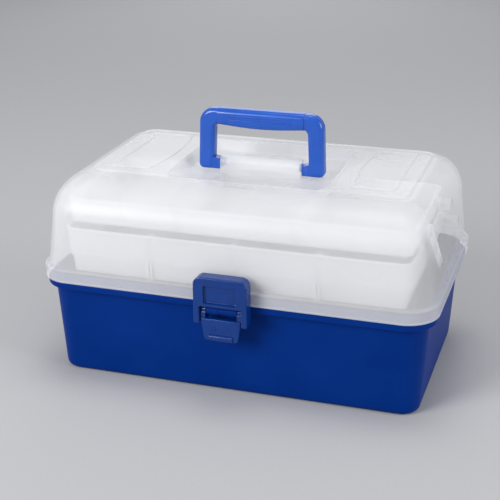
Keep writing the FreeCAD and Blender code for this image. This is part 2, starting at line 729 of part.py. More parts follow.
def make_arm(side, sign):
    """Flat strap with round ends through the base, lower-tray and upper-tray pivots."""
    body = new_body(f"link_arm_{side}")
    x = side_range(sign, arm_inner, arm_outer)
    strap = body.newObject("PartDesign::AdditiveBox", "strap")
    strap.setExpression("Length", "dims.arm_thick")
    strap.setExpression("Width", "sqrt(dims.link_run ^ 2 + dims.link_rise ^ 2)")
    strap.setExpression("Height", "2 * dims.arm_half")
    lean = "180 deg - atan(dims.link_rise / dims.link_run)"
    strap.Placement.Rotation = FreeCAD.Rotation(FreeCAD.Vector(1, 0, 0), value(lean))
    strap.setExpression("Placement.Rotation.Angle", lean)
    strap.setExpression("Placement.Base.x", x[0])
    slant = "sqrt(dims.link_run ^ 2 + dims.link_rise ^ 2)"
    strap.setExpression("Placement.Base.y", f"{arm_pivot[0]} + dims.arm_half * dims.link_rise / {slant}")
    strap.setExpression("Placement.Base.z", f"{arm_pivot[1]} + dims.arm_half * dims.link_run / {slant}")
    ends = (("base", arm_pivot), ("upper", arm_upper_pivot))
    for spot, pivot in ends:
        rod(body, f"{spot}_end", "dims.arm_half", x, pivot)
    for spot, pivot in ends + (("lower", arm_lower_pivot),):
        rod(body, f"{spot}_bore", "dims.pin_radius + dims.pin_play", x, pivot, cut=True)
    return body


def make_pin(label, sign, pivot, stations):
    """Round pin along X: a list of (inner, outer, radius) stretches from the middle outwards."""
    body = new_body(label)
    for index, (inner, outer, radius) in enumerate(stations):
        rod(body, f"stretch_{index}", radius, side_range(sign, inner, outer), pivot)
    return body


def make_linkage_pins(side, sign):
    """Headed pins of one end: arm to base, arm to trays and lid to trays."""
    shank, head = "dims.pin_radius", "dims.pin_head"
    inside = f"({tray_boss_inner} - dims.head_play)"
    tray_head = (f"({inside} - dims.head_thick)", inside, head)
    outside = f"({arm_outer} + dims.head_play)"
    arm_head = (outside, f"({outside} + dims.head_thick)", head)
    near = f"({arm_inner} - dims.head_play)"
    base_head = (f"({near} - dims.head_thick)", near, head)
    base_stations = [base_head, (near, f"({base_boss_face} + dims.pin_seat)", shank)]
    lid_stations = [tray_head, (inside, f"({arm_inner} + dims.pin_seat)", shank)]
    arm_stations = [tray_head, (inside, outside, shank), arm_head]
    return [
        make_pin(f"base_arm_pin_{side}", sign, arm_pivot, base_stations),
        make_pin(f"lower_arm_pin_{side}", sign, arm_lower_pivot, arm_stations),
        make_pin(f"upper_arm_pin_{side}", sign, arm_upper_pivot, arm_stations),
        make_pin(f"lower_lid_pin_{side}", sign, lid_lower_pivot, lid_stations),
        make_pin(f"upper_lid_pin_{side}", sign, lid_upper_pivot, lid_stations),
    ]


def make_hinge_pin(side, sign):
    body = new_body(f"hinge_pin_{side}")
    half = "(dims.lid_knuckle / 2 + dims.knuckle_play + dims.base_knuckle)"
    x = around(f"{sign} * dims.hinge_x", half)
    rod(body, "shank", "dims.hinge_pin_radius", x, hinge_pivot)
    return body


# Handle

def make_handle():
    body = new_body("handle_bow")
    half = "(dims.handle_width / 2)"
    gap = f"({half} - dims.handle_leg)"
    crest = "(dims.handle_z + dims.handle_reach)"
    foot = "(dims.handle_z - dims.handle_foot)"
    bar_low = f"({crest} - dims.handle_bar)"
    y = around("dims.handle_y", "dims.handle_thick / 2")
    block(body, "slab", mirrored(half), y, (foot, crest))
    opening_z = (f"{foot} - dims.handle_foot", bar_low)
    bow = block(body, "opening", mirrored(gap), mirrored(BEYOND), opening_z, cut=True)
    doc.recompute()

    def corner_edge(height):
        flat = level_edge(height)
        return lambda edge: flat(edge) and edge.BoundBox.XLength < NEAR

    outside = fillet(body, "outer_corners", bow, corner_edge(value(crest)), "dims.handle_corner")
    inside = fillet(body, "inner_corners", outside, corner_edge(value(bar_low)), "dims.handle_inner")
    doc.recompute()
    faces = [value(bound) for bound in y]

    def face_edge(edge):
        box = edge.BoundBox
        flat = box.YLength < NEAR
        return flat and min(abs(box.YMin - face) for face in faces) < NEAR

    fillet(body, "soft_edges", inside, face_edge, "dims.handle_edge")

    # Grip: a swollen stretch of the bar with two long ribs on each face
    swell = "dims.handle_thick / 2 + dims.grip_swell"
    grip_y = around("dims.handle_y", swell)
    grip_z = (f"{bar_low} - dims.grip_drop", f"{crest} + dims.grip_crown")
    grip = new_body("handle_grip")
    bar = block(grip, "grip_bar", mirrored("dims.grip_length / 2"), grip_y, grip_z)

    def long_edge(edge):
        return max(edge.BoundBox.YLength, edge.BoundBox.ZLength) < NEAR

    fillet(grip, "grip_round", bar, long_edge, "dims.grip_round")

    blocks = new_body("handle_details")
    for side, sign in SIDES:
        inner = "dims.saddle_length / 2 + dims.side_play"
        x = side_range(sign, inner, f"{half} - dims.handle_leg / 2")
        z = (f"{foot} + dims.foot_lift", f"{foot} + dims.foot_lift + dims.foot_height")
        y = around("dims.handle_y", "dims.handle_thick / 2 - dims.foot_inset")
        block(blocks, f"foot_{side}", x, y, z)
        x = side_range(sign, "dims.saddle_length / 2 - dims.stub_length", f"{half} - dims.handle_leg / 2")
        rod(blocks, f"stub_{side}", "dims.stub_radius", x, ("dims.handle_y", "dims.handle_z"))

    ribs = new_body("handle_ribs")
    middle = f"({crest} - dims.handle_bar / 2)"
    for face, sign in (("front", -1), ("back", 1)):
        for row, lift in (("upper", 0.5), ("lower", -0.5)):
            y_pair = side_range(sign, f"{swell} - dims.rib_rise", f"{swell} + dims.rib_rise")
            y = tuple(f"dims.handle_y + ({bound})" for bound in y_pair)
            z = around(f"{middle} + {lift} * dims.rib_pitch", "dims.rib_height / 2")
            block(ribs, f"rib_{face}_{row}", mirrored("dims.rib_length / 2"), y, z)
    whole = doc.addObject("Part::MultiFuse", "handle")
    whole.Label = "handle"
    whole.Shapes = [body, grip, blocks, ribs]
    return whole


# Latch

def make_hasp():
    body = new_body("latch_hasp")
    back = "(-dims.flange_depth / 2 - dims.hasp_gap)"
    front = f"({back} - dims.hasp_thick)"
    slab = block(
        body, "slab", mirrored("dims.hasp_width / 2"), (front, back), ("dims.hasp_bottom", "dims.hasp_top"))

    def top_corner(edge):
        return level_edge(value("dims.hasp_top"))(edge) and edge.BoundBox.XLength < NEAR

    rounded = fillet(body, "top_corners", slab, top_corner, "dims.hasp_corner")

    def front_edge(edge):
        box = edge.BoundBox
        outer = box.YLength < NEAR and abs(box.YMin - value(front)) < NEAR
        return outer and box.ZMax > value("dims.hasp_bottom") + NEAR

    fillet(body, "soft_edges", rounded, front_edge, "dims.hasp_edge")
    inner = "dims.hasp_width / 2 - dims.hasp_leg"
    block(body, "yoke", mirrored(inner), mirrored(BEYOND), ("0", "dims.hasp_yoke"), cut=True)
    window_y = (f"{front} - dims.window_depth", f"{front} + dims.window_depth")
    window_z = ("dims.window_bottom", "dims.window_top")
    block(body, "window", mirrored("dims.window_width / 2"), window_y, window_z, cut=True)
    bore = "dims.latch_pin_radius + dims.pin_play"
    rod(body, "pin_bore", bore, mirrored(BEYOND), hasp_pivot, cut=True)
    return body


def make_lever():
    body = new_body("latch_lever")
    front = f"({lever_pivot[0]} - dims.plate_front)"
    back = f"({front} + dims.plate_thick)"
    foot = rounded_rectangle(
        body, "plate_foot", f"2 * ({lever_half} - dims.plate_taper)", "dims.plate_thick",
        "dims.plate_thick / 4", "dims.plate_bottom", f"({front} + {back}) / 2")
    head = rounded_rectangle(
        body, "plate_head", f"2 * {lever_half}", "dims.plate_thick", "dims.plate_thick / 4",
        "dims.plate_top", f"({front} + {back}) / 2")
    loft(body, "plate", [foot, head])
    for side, sign in SIDES:
        x = side_range(sign, f"{lever_half} - dims.ear_width", lever_half)
        ear_y = (f"{front} + dims.plate_thick / 4", f"{lever_pivot[0]} + dims.ear_radius")
        block(body, f"ear_{side}", x, ear_y, ("dims.plate_top - dims.plate_thick", "dims.lever_z"))
        rod(body, f"ear_round_{side}", "dims.ear_radius", x, lever_pivot)
    fin_z = "dims.plate_bottom + dims.fin_lift"
    rod(body, "finger_lip", "dims.fin_radius", mirrored("dims.fin_length / 2"), (front, fin_z))
    nub_z = "(dims.plate_bottom + dims.plate_top) / 2"
    rod(body, "nub", "dims.nub_radius", mirrored("dims.nub_radius"), (front, nub_z))
    bore = "dims.latch_pin_radius + dims.pin_play"
    rod(body, "pivot_bore", bore, mirrored(BEYOND), lever_pivot, cut=True)
    for side, sign in SIDES:
        x = side_range(sign, f"{lever_half} - dims.ear_width - dims.side_play", BEYOND)
        rod(body, f"hasp_bore_{side}", bore, x, hasp_pivot, cut=True)
    return body


def make_latch_pins():
    lever_pin = new_body("latch_lever_pin")
    rod(lever_pin, "shank", "dims.latch_pin_radius", mirrored(lever_half), lever_pivot)
    short = []
    for side, sign in SIDES:
        pin = new_body(f"hasp_pin_{side}")
        x = side_range(sign, f"{lever_half} - dims.ear_width", "dims.hasp_width / 2")
        rod(pin, "shank", "dims.latch_pin_radius", x, hasp_pivot)
        short.append(pin)
    group = doc.addObject("Part::Compound", "latch_hasp_pins")
    group.Label = "latch_hasp_pins"
    group.Links = short
    return [lever_pin, group]


pieces = [make_base(), make_lid()]
pieces.append(make_tray("lower", lid_lower_pivot, arm_lower_pivot))
pieces.append(make_tray("upper", lid_upper_pivot, arm_upper_pivot))
pieces += [make_dividers("lower"), make_dividers("upper")]
for side, sign in SIDES:
    pieces.append(make_arm(side, sign))
    pieces += make_linkage_pins(side, sign)
    pieces.append(make_hinge_pin(side, sign))
pieces += [make_handle(), make_hasp(), make_lever()]
pieces += make_latch_pins()
doc.recompute()

for item in doc.Objects:
    if "Invalid" in item.State or "Error" in item.State:
        raise RuntimeError(f"{item.Label} failed: {item.getStatusString()}")
for piece in pieces:
    if piece.Shape.isNull() or not piece.Shape.isValid():
        raise RuntimeError(f"{piece.Label} has no valid shape")

os.makedirs("parts", exist_ok=True)
for piece in pieces:
    piece.Shape.exportStep(f"parts/{piece.Label}.step")
    box = piece.Shape.BoundBox
    print(piece.Label, len(piece.Shape.Solids), round(piece.Shape.Volume), [round(n, 1) for n in (
        box.XMin, box.XMax, box.YMin, box.YMax, box.ZMin, box.ZMax)])
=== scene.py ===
import json
import math
from collections import namedtuple

import bmesh
import bpy
from mathutils import Euler, Matrix, Vector


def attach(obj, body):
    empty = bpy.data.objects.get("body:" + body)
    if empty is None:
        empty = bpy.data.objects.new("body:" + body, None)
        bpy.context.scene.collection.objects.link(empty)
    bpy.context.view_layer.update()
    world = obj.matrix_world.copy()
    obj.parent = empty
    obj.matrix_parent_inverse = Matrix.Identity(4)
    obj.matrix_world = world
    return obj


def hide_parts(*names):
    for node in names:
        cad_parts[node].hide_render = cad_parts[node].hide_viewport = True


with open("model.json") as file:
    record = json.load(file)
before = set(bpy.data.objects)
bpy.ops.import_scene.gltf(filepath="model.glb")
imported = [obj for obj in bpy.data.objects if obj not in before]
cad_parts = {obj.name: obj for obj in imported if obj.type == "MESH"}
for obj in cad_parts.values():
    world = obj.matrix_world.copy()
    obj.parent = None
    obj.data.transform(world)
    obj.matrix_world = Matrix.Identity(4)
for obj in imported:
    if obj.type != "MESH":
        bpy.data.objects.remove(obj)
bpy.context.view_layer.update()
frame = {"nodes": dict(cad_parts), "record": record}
nodes = frame["nodes"]

# Sizes in millimetres; pivots, bores and fits are those of the solids
MM = 0.001
SIDES = (-1, 1)
X, Y = 0, 1

# Pivots as (y, z), radii of bores and bosses, and how far a bore's tool reaches to either side
HINGE, HINGE_X = (103.5, 80.0), 95.0
ARM_PIVOT = (36.0, 80.0)
LID_PIVOTS = ((61.74, 113.64), (31.5, 138.0))
ARM_PIVOTS = ((-5.76, 113.64), (-36.0, 138.0))
HANDLE_PIVOT = (0.0, 169.0)
LEVER_PIVOT = (-104.0, 80.1)
HASP_PIVOT = (-106.5, 74.4)
PIN_BORE, OPEN_BORE, HINGE_BORE, LATCH_BORE, STUB_BORE = 2.06, 2.2, 1.66, 1.46, 3.46
BOSS_RADIUS = 6.0
KNUCKLE, KNUCKLE_EDGE = 4.0, 0.5
HINGE_REACH, TRAY_REACH, LATCH_REACH, LUG_REACH = 140.0, 150.0, 30.0, 20.0

# Fineness of round forms, and the flat that is left on a half round
CORNER_STEPS, ROUND_STEPS, KNUCKLE_STEPS = 12, 5, 10
BORE_SIDES, STUB_SIDES, BOSS_SIDES, COLLAR_SIDES = 24, 32, 36, 40
ROUND_GAP = 0.02

# What counts as near, as running along an axis, as flat (radians) and as one point (metres)
NEAR, STRAIGHT, FLAT, MERGE = 0.01, 0.9, 0.05, 1e-6

# Outline of a moulding at a height: half length, reach to the front and to the back, corner radius
Level = namedtuple("Level", "half front back corner height")


# Hand tools

def take(piece):
    """Selects one piece alone and makes it active."""
    bpy.ops.object.select_all(action="DESELECT")
    piece.select_set(True)
    bpy.context.view_layer.objects.active = piece


def edit(piece):
    """Opens the mesh of one piece."""
    take(piece)
    bpy.ops.object.mode_set(mode="EDIT")


def leave():
    """Closes the mesh that is open."""
    bpy.ops.object.mode_set(mode="OBJECT")


def pick(piece, kind, test):
    """Selects the VERT or EDGE items of an open mesh that pass a test."""
    bpy.ops.mesh.select_mode(type=kind)
    bpy.ops.mesh.select_all(action="DESELECT")
    mesh = bmesh.from_edit_mesh(piece.data)
    items = {"VERT": mesh.verts, "EDGE": mesh.edges}[kind]
    for item in items:
        if test(item):
            item.select_set(True)
    mesh.select_flush_mode()
    bmesh.update_edit_mesh(piece.data)


def choose(piece, indices):
    """Selects the points of an open mesh by their numbers."""
    bpy.ops.mesh.select_all(action="DESELECT")
    mesh = bmesh.from_edit_mesh(piece.data)
    mesh.verts.ensure_lookup_table()
    for index in indices:
        mesh.verts[index].select_set(True)
    mesh.select_flush(True)
    bmesh.update_edit_mesh(piece.data)


def shift(x, y, z):
    """Moves what is selected in the open mesh."""
    bpy.ops.transform.translate(value=(x * MM, y * MM, z * MM))


def stretch(x, y, z, centre=(0, 0, 0)):
    """Stretches what is selected in the open mesh about a centre."""
    bpy.ops.transform.resize(value=(x, y, z), center_override=[place * MM for place in centre])


def round_over(width, segments):
    """Rounds the edges that are selected in the open mesh."""
    bpy.ops.mesh.bevel(offset=width * MM, segments=segments, affect="EDGES")


def turn_outwards():
    """Turns all faces of the open mesh outwards."""
    bpy.ops.mesh.select_all(action="SELECT")
    bpy.ops.mesh.normals_make_consistent(inside=False)


def both(half, centre=0.0):
    """Places a half size to either side of a centre."""
    return (centre - half, centre + half)


def on_side(sign, near_place, far_place):
    """Places along X on the left (-1) or on the right (1), in rising order."""
    return sorted((sign * near_place, sign * far_place))


def near(value, place):
    """True where a value lies at a place."""
    return abs(value - place) < NEAR


def above(height):
    """Test for points above a height."""
    return lambda point: point.co.z > height * MM


def middle(item):
    """Middle of an edge in millimetres."""
    return (item.verts[0].co + item.verts[1].co) / 2 / MM


def along(item):
    """Unit direction of an edge."""
    return (item.verts[1].co - item.verts[0].co).normalized()


def anywhere(spot):
    """Test that every place passes."""
    return True


def running(axis, test=anywhere):
    """Test for edges along an axis whose middle passes another test."""
    return lambda item: abs(along(item)[axis]) > STRAIGHT and test(middle(item))


def flat_inside(item):
    """True for an edge between two faces that lie in one plane."""
    return len(item.link_faces) == 2 and item.calc_face_angle() < FLAT


def settle(name):
    """Names the piece just added and puts its place into its mesh."""
    piece = bpy.context.object
    piece.name = name
    bpy.ops.object.transform_apply(location=True, rotation=True, scale=True)
    return piece


def block(name, x, y, z):
    """Box between two places along each axis."""
    bpy.ops.object.select_all(action="DESELECT")
    size = [(high - low) * MM for low, high in (x, y, z)]
    centre = [(high + low) / 2 * MM for low, high in (x, y, z)]
    bpy.ops.mesh.primitive_cube_add(size=1, location=centre, scale=size)
    return settle(name)


def rod(name, radius, x, pivot, sides):
    """Round bar along X between two places, about a (y, z) pivot."""
    bpy.ops.object.select_all(action="DESELECT")
    centre = ((x[0] + x[1]) / 2 * MM, pivot[0] * MM, pivot[1] * MM)
    bpy.ops.mesh.primitive_cylinder_add(
        vertices=sides, radius=radius * MM, depth=(x[1] - x[0]) * MM, location=centre,
        rotation=(0, math.pi / 2, 0))
    return settle(name)


def sheet(name, half, deep, centre):
    """Flat oblong of two half sizes about a centre, open and selected all over."""
    bpy.ops.object.select_all(action="DESELECT")
    bpy.ops.mesh.primitive_plane_add(size=2)
    piece = bpy.context.object
    piece.name = name
    bpy.ops.object.mode_set(mode="EDIT")
    bpy.ops.mesh.select_mode(type="VERT")
    bpy.ops.mesh.select_all(action="SELECT")
    stretch(half * MM, deep * MM, 1)
    shift(*centre)
    return piece


def shape_with(piece, tool, operation):
    """Unites a piece with a tool, or cuts the tool out of it, and clears the tool away."""
    change = piece.modifiers.new(operation.lower(), "BOOLEAN")
    change.operation = operation
    change.object = tool
    change.solver = "EXACT"
    take(piece)
    bpy.ops.object.modifier_apply(modifier=change.name)
    bpy.data.objects.remove(tool)


def add(piece, *tools):
    """Unites a piece with each of the tools."""
    for tool in tools:
        shape_with(piece, tool, "UNION")


def cut(piece, *tools):
    """Cuts each of the tools out of a piece."""
    for tool in tools:
        shape_with(piece, tool, "DIFFERENCE")


def together(name, parts):
    """One piece from several that don't touch."""
    bpy.ops.object.select_all(action="DESELECT")
    for part in parts:
        part.select_set(True)
    bpy.context.view_layer.objects.active = parts[0]
    bpy.ops.object.join()
    parts[0].name = name
    return parts[0]


def soften(piece, width, segments=3, angle=35):
    """Rounds every edge that is sharper than an angle."""
    bevel = piece.modifiers.new("soft_edges", "BEVEL")
    bevel.limit_method = "ANGLE"
    bevel.angle_limit = math.radians(angle)
    bevel.width = width * MM
    bevel.segments = segments
    take(piece)
    bpy.ops.object.modifier_apply(modifier=bevel.name)
    return piece


def round_edges(piece, test, width, segments):
    """Rounds the edges of a piece that pass a test."""
    edit(piece)
    pick(piece, "EDGE", test)
    round_over(width, segments)
    leave()
    return piece


def spread(piece, test, share):
    """Widens or narrows a piece along X at the points that pass a test."""
    edit(piece)
    pick(piece, "VERT", test)
    stretch(share, 1, 1)
    leave()
    return piece


def polish(piece, angle):
    """Merges doubles, turns the faces outwards and shades the piece smooth up to an angle."""
    edit(piece)
    bpy.ops.mesh.select_all(action="SELECT")
    bpy.ops.mesh.remove_doubles(threshold=MERGE)
    bpy.ops.mesh.dissolve_degenerate(threshold=MERGE)
    turn_outwards()
    leave()
    take(piece)
    bpy.ops.object.shade_smooth_by_angle(angle=math.radians(angle))
    weigh = piece.modifiers.new("even_shading", "WEIGHTED_NORMAL")
    weigh.keep_sharp = True
    bpy.ops.object.modifier_apply(modifier=weigh.name)
    return piece


# Mouldings: closed forms through level outlines with round corners

def inset_level(level, inset, height):
    """The outline of a level, drawn in by an inset and moved to a height."""
    half, front, back, corner, _ = level
    return Level(half - inset, front - inset, back - inset, corner - inset, height)


def round_angles(steps):
    """Angles of a quarter round from 0 to 90 degrees."""
    return [math.pi / 2 * step / steps for step in range(steps + 1)]


def quarter_round(radius, steps=ROUND_STEPS):
    """Quarter round from the side to the end, as (inset, distance to the end) of each point."""
    return [(radius * (1 - math.cos(turn)), radius * (1 - math.sin(turn))) for turn in round_angles(steps)]


def corner_centre(level, side, end):
    """Centre (x, y) of a level's round corner, at the side along X and the end along Y."""
    reach = level.back if end > 0 else level.front
    return side * (level.half - level.corner), end * (reach - level.corner)


def raise_outline(piece, last, level):
    """Extrudes the selected outline to the next level and fits its four corners to that level."""
    bpy.ops.mesh.select_mode(type="FACE")
    rise = (0, 0, (level.height - last.height) * MM)
    bpy.ops.mesh.extrude_region_move(TRANSFORM_OT_translate={"value": rise})
    bpy.ops.mesh.select_mode(type="VERT")
    mesh = bmesh.from_edit_mesh(piece.data)
    mid = (last.back - last.front) / 2 * MM
    corners = {(side, end): [] for side in SIDES for end in SIDES}
    for point in mesh.verts:
        if point.select:
            side = 1 if point.co.x > 0 else -1
            end = 1 if point.co.y > mid else -1
            corners[side, end].append(point.index)
    share = level.corner / last.corner
    for (side, end), ring in corners.items():
        choose(piece, ring)
        x_from, y_from = corner_centre(last, side, end)
        x_to, y_to = corner_centre(level, side, end)
        stretch(share, share, 1, (x_from, y_from, level.height))
        shift(x_to - x_from, y_to - y_from, 0)
    choose(piece, [index for ring in corners.values() for index in ring])


def moulding(name, levels, corner_steps=CORNER_STEPS):
    """Closed form through all levels, from the first to the last."""
    start = levels[0]
    centre = (0, (start.back - start.front) / 2, start.height)
    piece = sheet(name, start.half, (start.front + start.back) / 2, centre)
    bpy.ops.mesh.bevel(
        offset=start.corner * MM, segments=corner_steps, affect="VERTICES", clamp_overlap=False)
    for last, level in zip(levels, levels[1:]):
        raise_outline(piece, last, level)
    turn_outwards()
    leave()
    return piece


# Lid: flange, leaning wall and dome in one moulding, with recess, panel borders, saddle and hinge webs
# Profiles here are points of (inset, rise)
LID_WALL, SHELL_ANGLE = 2.2, 32
FLANGE = Level(165.0, 100.0, 100.0, 27.0, 84.5)
FLANGE_TOP, FLANGE_ROUND = 96.5, 2.0
FLANGE_RIDGES = ((0.7, 0), (0.2, 0.2), (0, 0.6), (0, 1.2), (0.5, 1.9), (0.5, 8.6), (0, 9.4))
LID_FOOT = Level(161.5, 96.5, 96.5, 24.0, FLANGE_TOP)
FOOT_COVE = ((-0.7, 0), (-0.2, 0.2), (0, 0.8))
DOME_BASE, DOME_TOP, DOME_STEPS = 137.0, 168.0, 14
DOME_END, DOME_FRONT, DOME_BACK, DOME_CORNER = 23.0, 39.0, 17.0, 10.0
TOP_HALF, TOP_FRONT, TOP_BACK, TOP_CORNER = 134.0, 54.0, 77.0, 12.0
PLATEAU_TOP, PLATEAU_INSET, PLATEAU_ROUND, PLATEAU_STEPS = 170.0, 1.5, 1.2, 4
PLATEAU_COVE = ((-0.4, 0), (-0.1, 0.15))
ROOM_ROOF, ROOM_ENTRY, ROOM_STEPS = FLANGE_TOP - LID_WALL, 5.0, 12
ROOM_SKIRT = ((0, -1.2), (0.35, -0.35), (1.2, 0))
ROOM_FOOT = ((-0.3, 0), (0, 0.5))
RECESS_FLOOR, RECESS_HALF, RECESS_BACK = 160.8, 63.0, 55.0
RECESS_TOOL_TOP, RECESS_SLOPE, RECESS_CORNER, RECESS_ROUND = PLATEAU_TOP + 7.0, 5.0 / 10.1, 7.0, 2.0
RAMP_FOOT, RAMP_SLOPE = 14.0, 48.0 / 10.1
CREASE_MERGE, CREASE_ANGLE, CREASE_ROUND = 0.05, 24, 0.8
CREASE_HALF, CREASE_FRONT, CREASE_BACK, CREASE_LOW = RECESS_HALF + 8.0, -44.0, 62.0, 150.0
PANEL_INNER, PANEL_OUTER, PANEL_FRONT, PANEL_BACK, PANEL_BEND = 84.5, 120.0, -42.0, 62.0, 228.0
PANEL_CUTS = 15
BORDER_WIDTH, BORDER_SINK, BORDER_RISE, BORDER_ROUND = 4.5, 0.8, 0.9, 0.6
SADDLE_HALF, SADDLE_RADIUS, SADDLE_SINK, SADDLE_EDGE, SADDLE_STEPS = 35.0, 7.0, 1.0, 0.8, 14
LID_BOSS, LID_SEAT, STUB_SEAT = (146.0, 175.0), (140.0, 151.0), (27.5, 35.6)
WEB_HALF, WEB_ROOT, WEB_RISE = 10.0, 98.9, 10.0


def dome_level(angle, inset, top):
    """Outline of the dome at an angle of its quarter-ellipse side."""
    share = math.cos(angle)
    return Level(
        TOP_HALF + DOME_END * share - inset, TOP_FRONT + DOME_FRONT * share - inset,
        TOP_BACK + DOME_BACK * share - inset, TOP_CORNER + DOME_CORNER * share - inset,
        DOME_BASE + (top - DOME_BASE) * math.sin(angle))


def lid_outside():
    """Outside of the lid from the flange's lower edge to the raised top."""
    levels = [inset_level(FLANGE, inset, FLANGE.height + rise) for inset, rise in FLANGE_RIDGES]
    for inset, drop in quarter_round(FLANGE_ROUND):
        levels.append(inset_level(FLANGE, inset, FLANGE_TOP - drop))
    levels += [inset_level(LID_FOOT, inset, FLANGE_TOP + rise) for inset, rise in FOOT_COVE]
    levels += [dome_level(turn, 0, DOME_TOP) for turn in round_angles(DOME_STEPS)]
    plateau = inset_level(levels[-1], PLATEAU_INSET, DOME_TOP)
    levels += [inset_level(plateau, inset, DOME_TOP + rise) for inset, rise in PLATEAU_COVE]
    for inset, drop in quarter_round(PLATEAU_ROUND, PLATEAU_STEPS):
        levels.append(inset_level(plateau, inset, PLATEAU_TOP - drop))
    return moulding("lid_shell_soft", levels)


def lid_room():
    """Room under the lid, a wall's thickness inside its outside."""
    levels = [inset_level(FLANGE, LID_WALL, FLANGE.height - ROOM_ENTRY)]
    levels += [inset_level(FLANGE, LID_WALL + inset, ROOM_ROOF + rise) for inset, rise in ROOM_SKIRT]
    levels += [inset_level(LID_FOOT, LID_WALL + inset, ROOM_ROOF + rise) for inset, rise in ROOM_FOOT]
    levels += [dome_level(turn, LID_WALL, DOME_TOP - LID_WALL) for turn in round_angles(ROOM_STEPS)]
    room = moulding("lid_room", levels)
    cut(room, recess_tool(LID_WALL))
    bosses = []
    for sign in SIDES:
        for pivot in LID_PIVOTS:
            bosses.append(rod("boss", BOSS_RADIUS, on_side(sign, *LID_BOSS), pivot, BOSS_SIDES))
    cut(room, together("bosses", bosses))
    return room


def recess_tool(grow):
    """Handle recess: leaning sides and back with round corners, and a floor that ramps up to the front."""
    floor = RECESS_FLOOR - grow
    half = RECESS_HALF + grow
    back = RECESS_BACK + grow
    lean = (RECESS_TOOL_TOP - floor) * RECESS_SLOPE
    ramp = (RECESS_TOOL_TOP - floor) * RAMP_SLOPE
    at_top = above(PLATEAU_TOP)
    piece = block("recess_tool", both(half), (-RAMP_FOOT, back), (floor, RECESS_TOOL_TOP))
    edit(piece)
    pick(piece, "VERT", at_top)
    stretch((half + lean) / half, 1, 1)
    pick(piece, "VERT", lambda point: at_top(point) and point.co.y > 0)
    shift(0, lean, 0)
    pick(piece, "VERT", lambda point: at_top(point) and point.co.y < 0)
    shift(0, -ramp, 0)
    pick(piece, "EDGE", lambda item: abs(item.verts[0].co.z - item.verts[1].co.z) > MM)
    round_over(RECESS_CORNER + grow, segments=8)
    pick(piece, "EDGE", lambda item: near(middle(item).z, floor))
    round_over(RECESS_ROUND, segments=4)
    turn_outwards()
    leave()
    return piece


def soften_crease(piece):
    """Rounds the edges the recess has cut into the top and the dome."""
    edit(piece)
    bpy.ops.mesh.select_all(action="SELECT")
    bpy.ops.mesh.remove_doubles(threshold=CREASE_MERGE * MM)

    def crease(item):
        if len(item.link_faces) != 2 or item.calc_face_angle() < math.radians(CREASE_ANGLE):
            return False
        spot = middle(item)
        at_recess = abs(spot.x) < CREASE_HALF and CREASE_FRONT < spot.y < CREASE_BACK
        return at_recess and spot.z > CREASE_LOW and item.is_convex

    pick(piece, "EDGE", crease)
    bpy.ops.mesh.bevel(offset=CREASE_ROUND * MM, segments=3, affect="EDGES", clamp_overlap=True)
    leave()


def panel_ring(sign):
    """Raised border of one end panel, bowed on the side towards the handle."""
    mid, half = (PANEL_FRONT + PANEL_BACK) / 2, (PANEL_BACK - PANEL_FRONT) / 2
    centre = (sign * (PANEL_INNER + PANEL_OUTER) / 2, mid, PLATEAU_TOP - BORDER_SINK)
    piece = sheet("panel_ring", (PANEL_OUTER - PANEL_INNER) / 2, half, centre)
    pick(piece, "EDGE", lambda item: near(abs(middle(item).x), PANEL_INNER))
    bpy.ops.mesh.subdivide(number_cuts=PANEL_CUTS)
    mesh = bmesh.from_edit_mesh(piece.data)
    offsets = {}
    for point in mesh.verts:
        if near(abs(point.co.x) / MM, PANEL_INNER):
            offsets[point.index] = point.co.y / MM - mid
    for index, offset in offsets.items():
        choose(piece, [index])
        sag = math.sqrt(PANEL_BEND ** 2 - offset ** 2) - math.sqrt(PANEL_BEND ** 2 - half ** 2)
        shift(-sign * sag, 0, 0)
    bpy.ops.mesh.select_mode(type="FACE")
    bpy.ops.mesh.select_all(action="SELECT")
    bpy.ops.mesh.inset(thickness=BORDER_WIDTH * MM)
    bpy.ops.mesh.delete(type="FACE")
    bpy.ops.mesh.select_all(action="SELECT")
    rise = (0, 0, (BORDER_SINK + BORDER_RISE) * MM)
    bpy.ops.mesh.extrude_region_move(TRANSFORM_OT_translate={"value": rise})
    turn_outwards()
    crest = PLATEAU_TOP + BORDER_RISE
    pick(piece, "EDGE", lambda item: near(middle(item).z, crest) and not flat_inside(item))
    round_over(BORDER_ROUND, segments=3)
    leave()
    return piece


def handle_saddle():
    """Round-topped block in the recess that carries the handle's stubs."""
    height = (RECESS_FLOOR - SADDLE_SINK, HANDLE_PIVOT[1] + SADDLE_RADIUS)
    saddle = block("saddle", both(SADDLE_HALF), both(SADDLE_RADIUS), height)
    upper = running(X, lambda spot: spot.z > HANDLE_PIVOT[1])
    round_edges(saddle, upper, SADDLE_RADIUS - ROUND_GAP, SADDLE_STEPS)

    def at_end(item):
        return near(abs(middle(item).x), SADDLE_HALF) and not flat_inside(item)

    return round_edges(saddle, at_end, SADDLE_EDGE, segments=3)


def hinge_webs():
    """Round-nosed webs under the flange's rear edge, one at each hinge."""
    webs = []
    depth = (WEB_ROOT, HINGE[0] + KNUCKLE)
    height = (HINGE[1] - KNUCKLE, HINGE[1] + WEB_RISE)
    lower = running(X, lambda spot: spot.z < HINGE[1])
    for sign in SIDES:
        web = block("hinge_web", both(WEB_HALF, sign * HINGE_X), depth, height)
        webs.append(round_edges(web, lower, KNUCKLE - ROUND_GAP, KNUCKLE_STEPS))
    return soften(together("hinge_webs", webs), KNUCKLE_EDGE, segments=2)


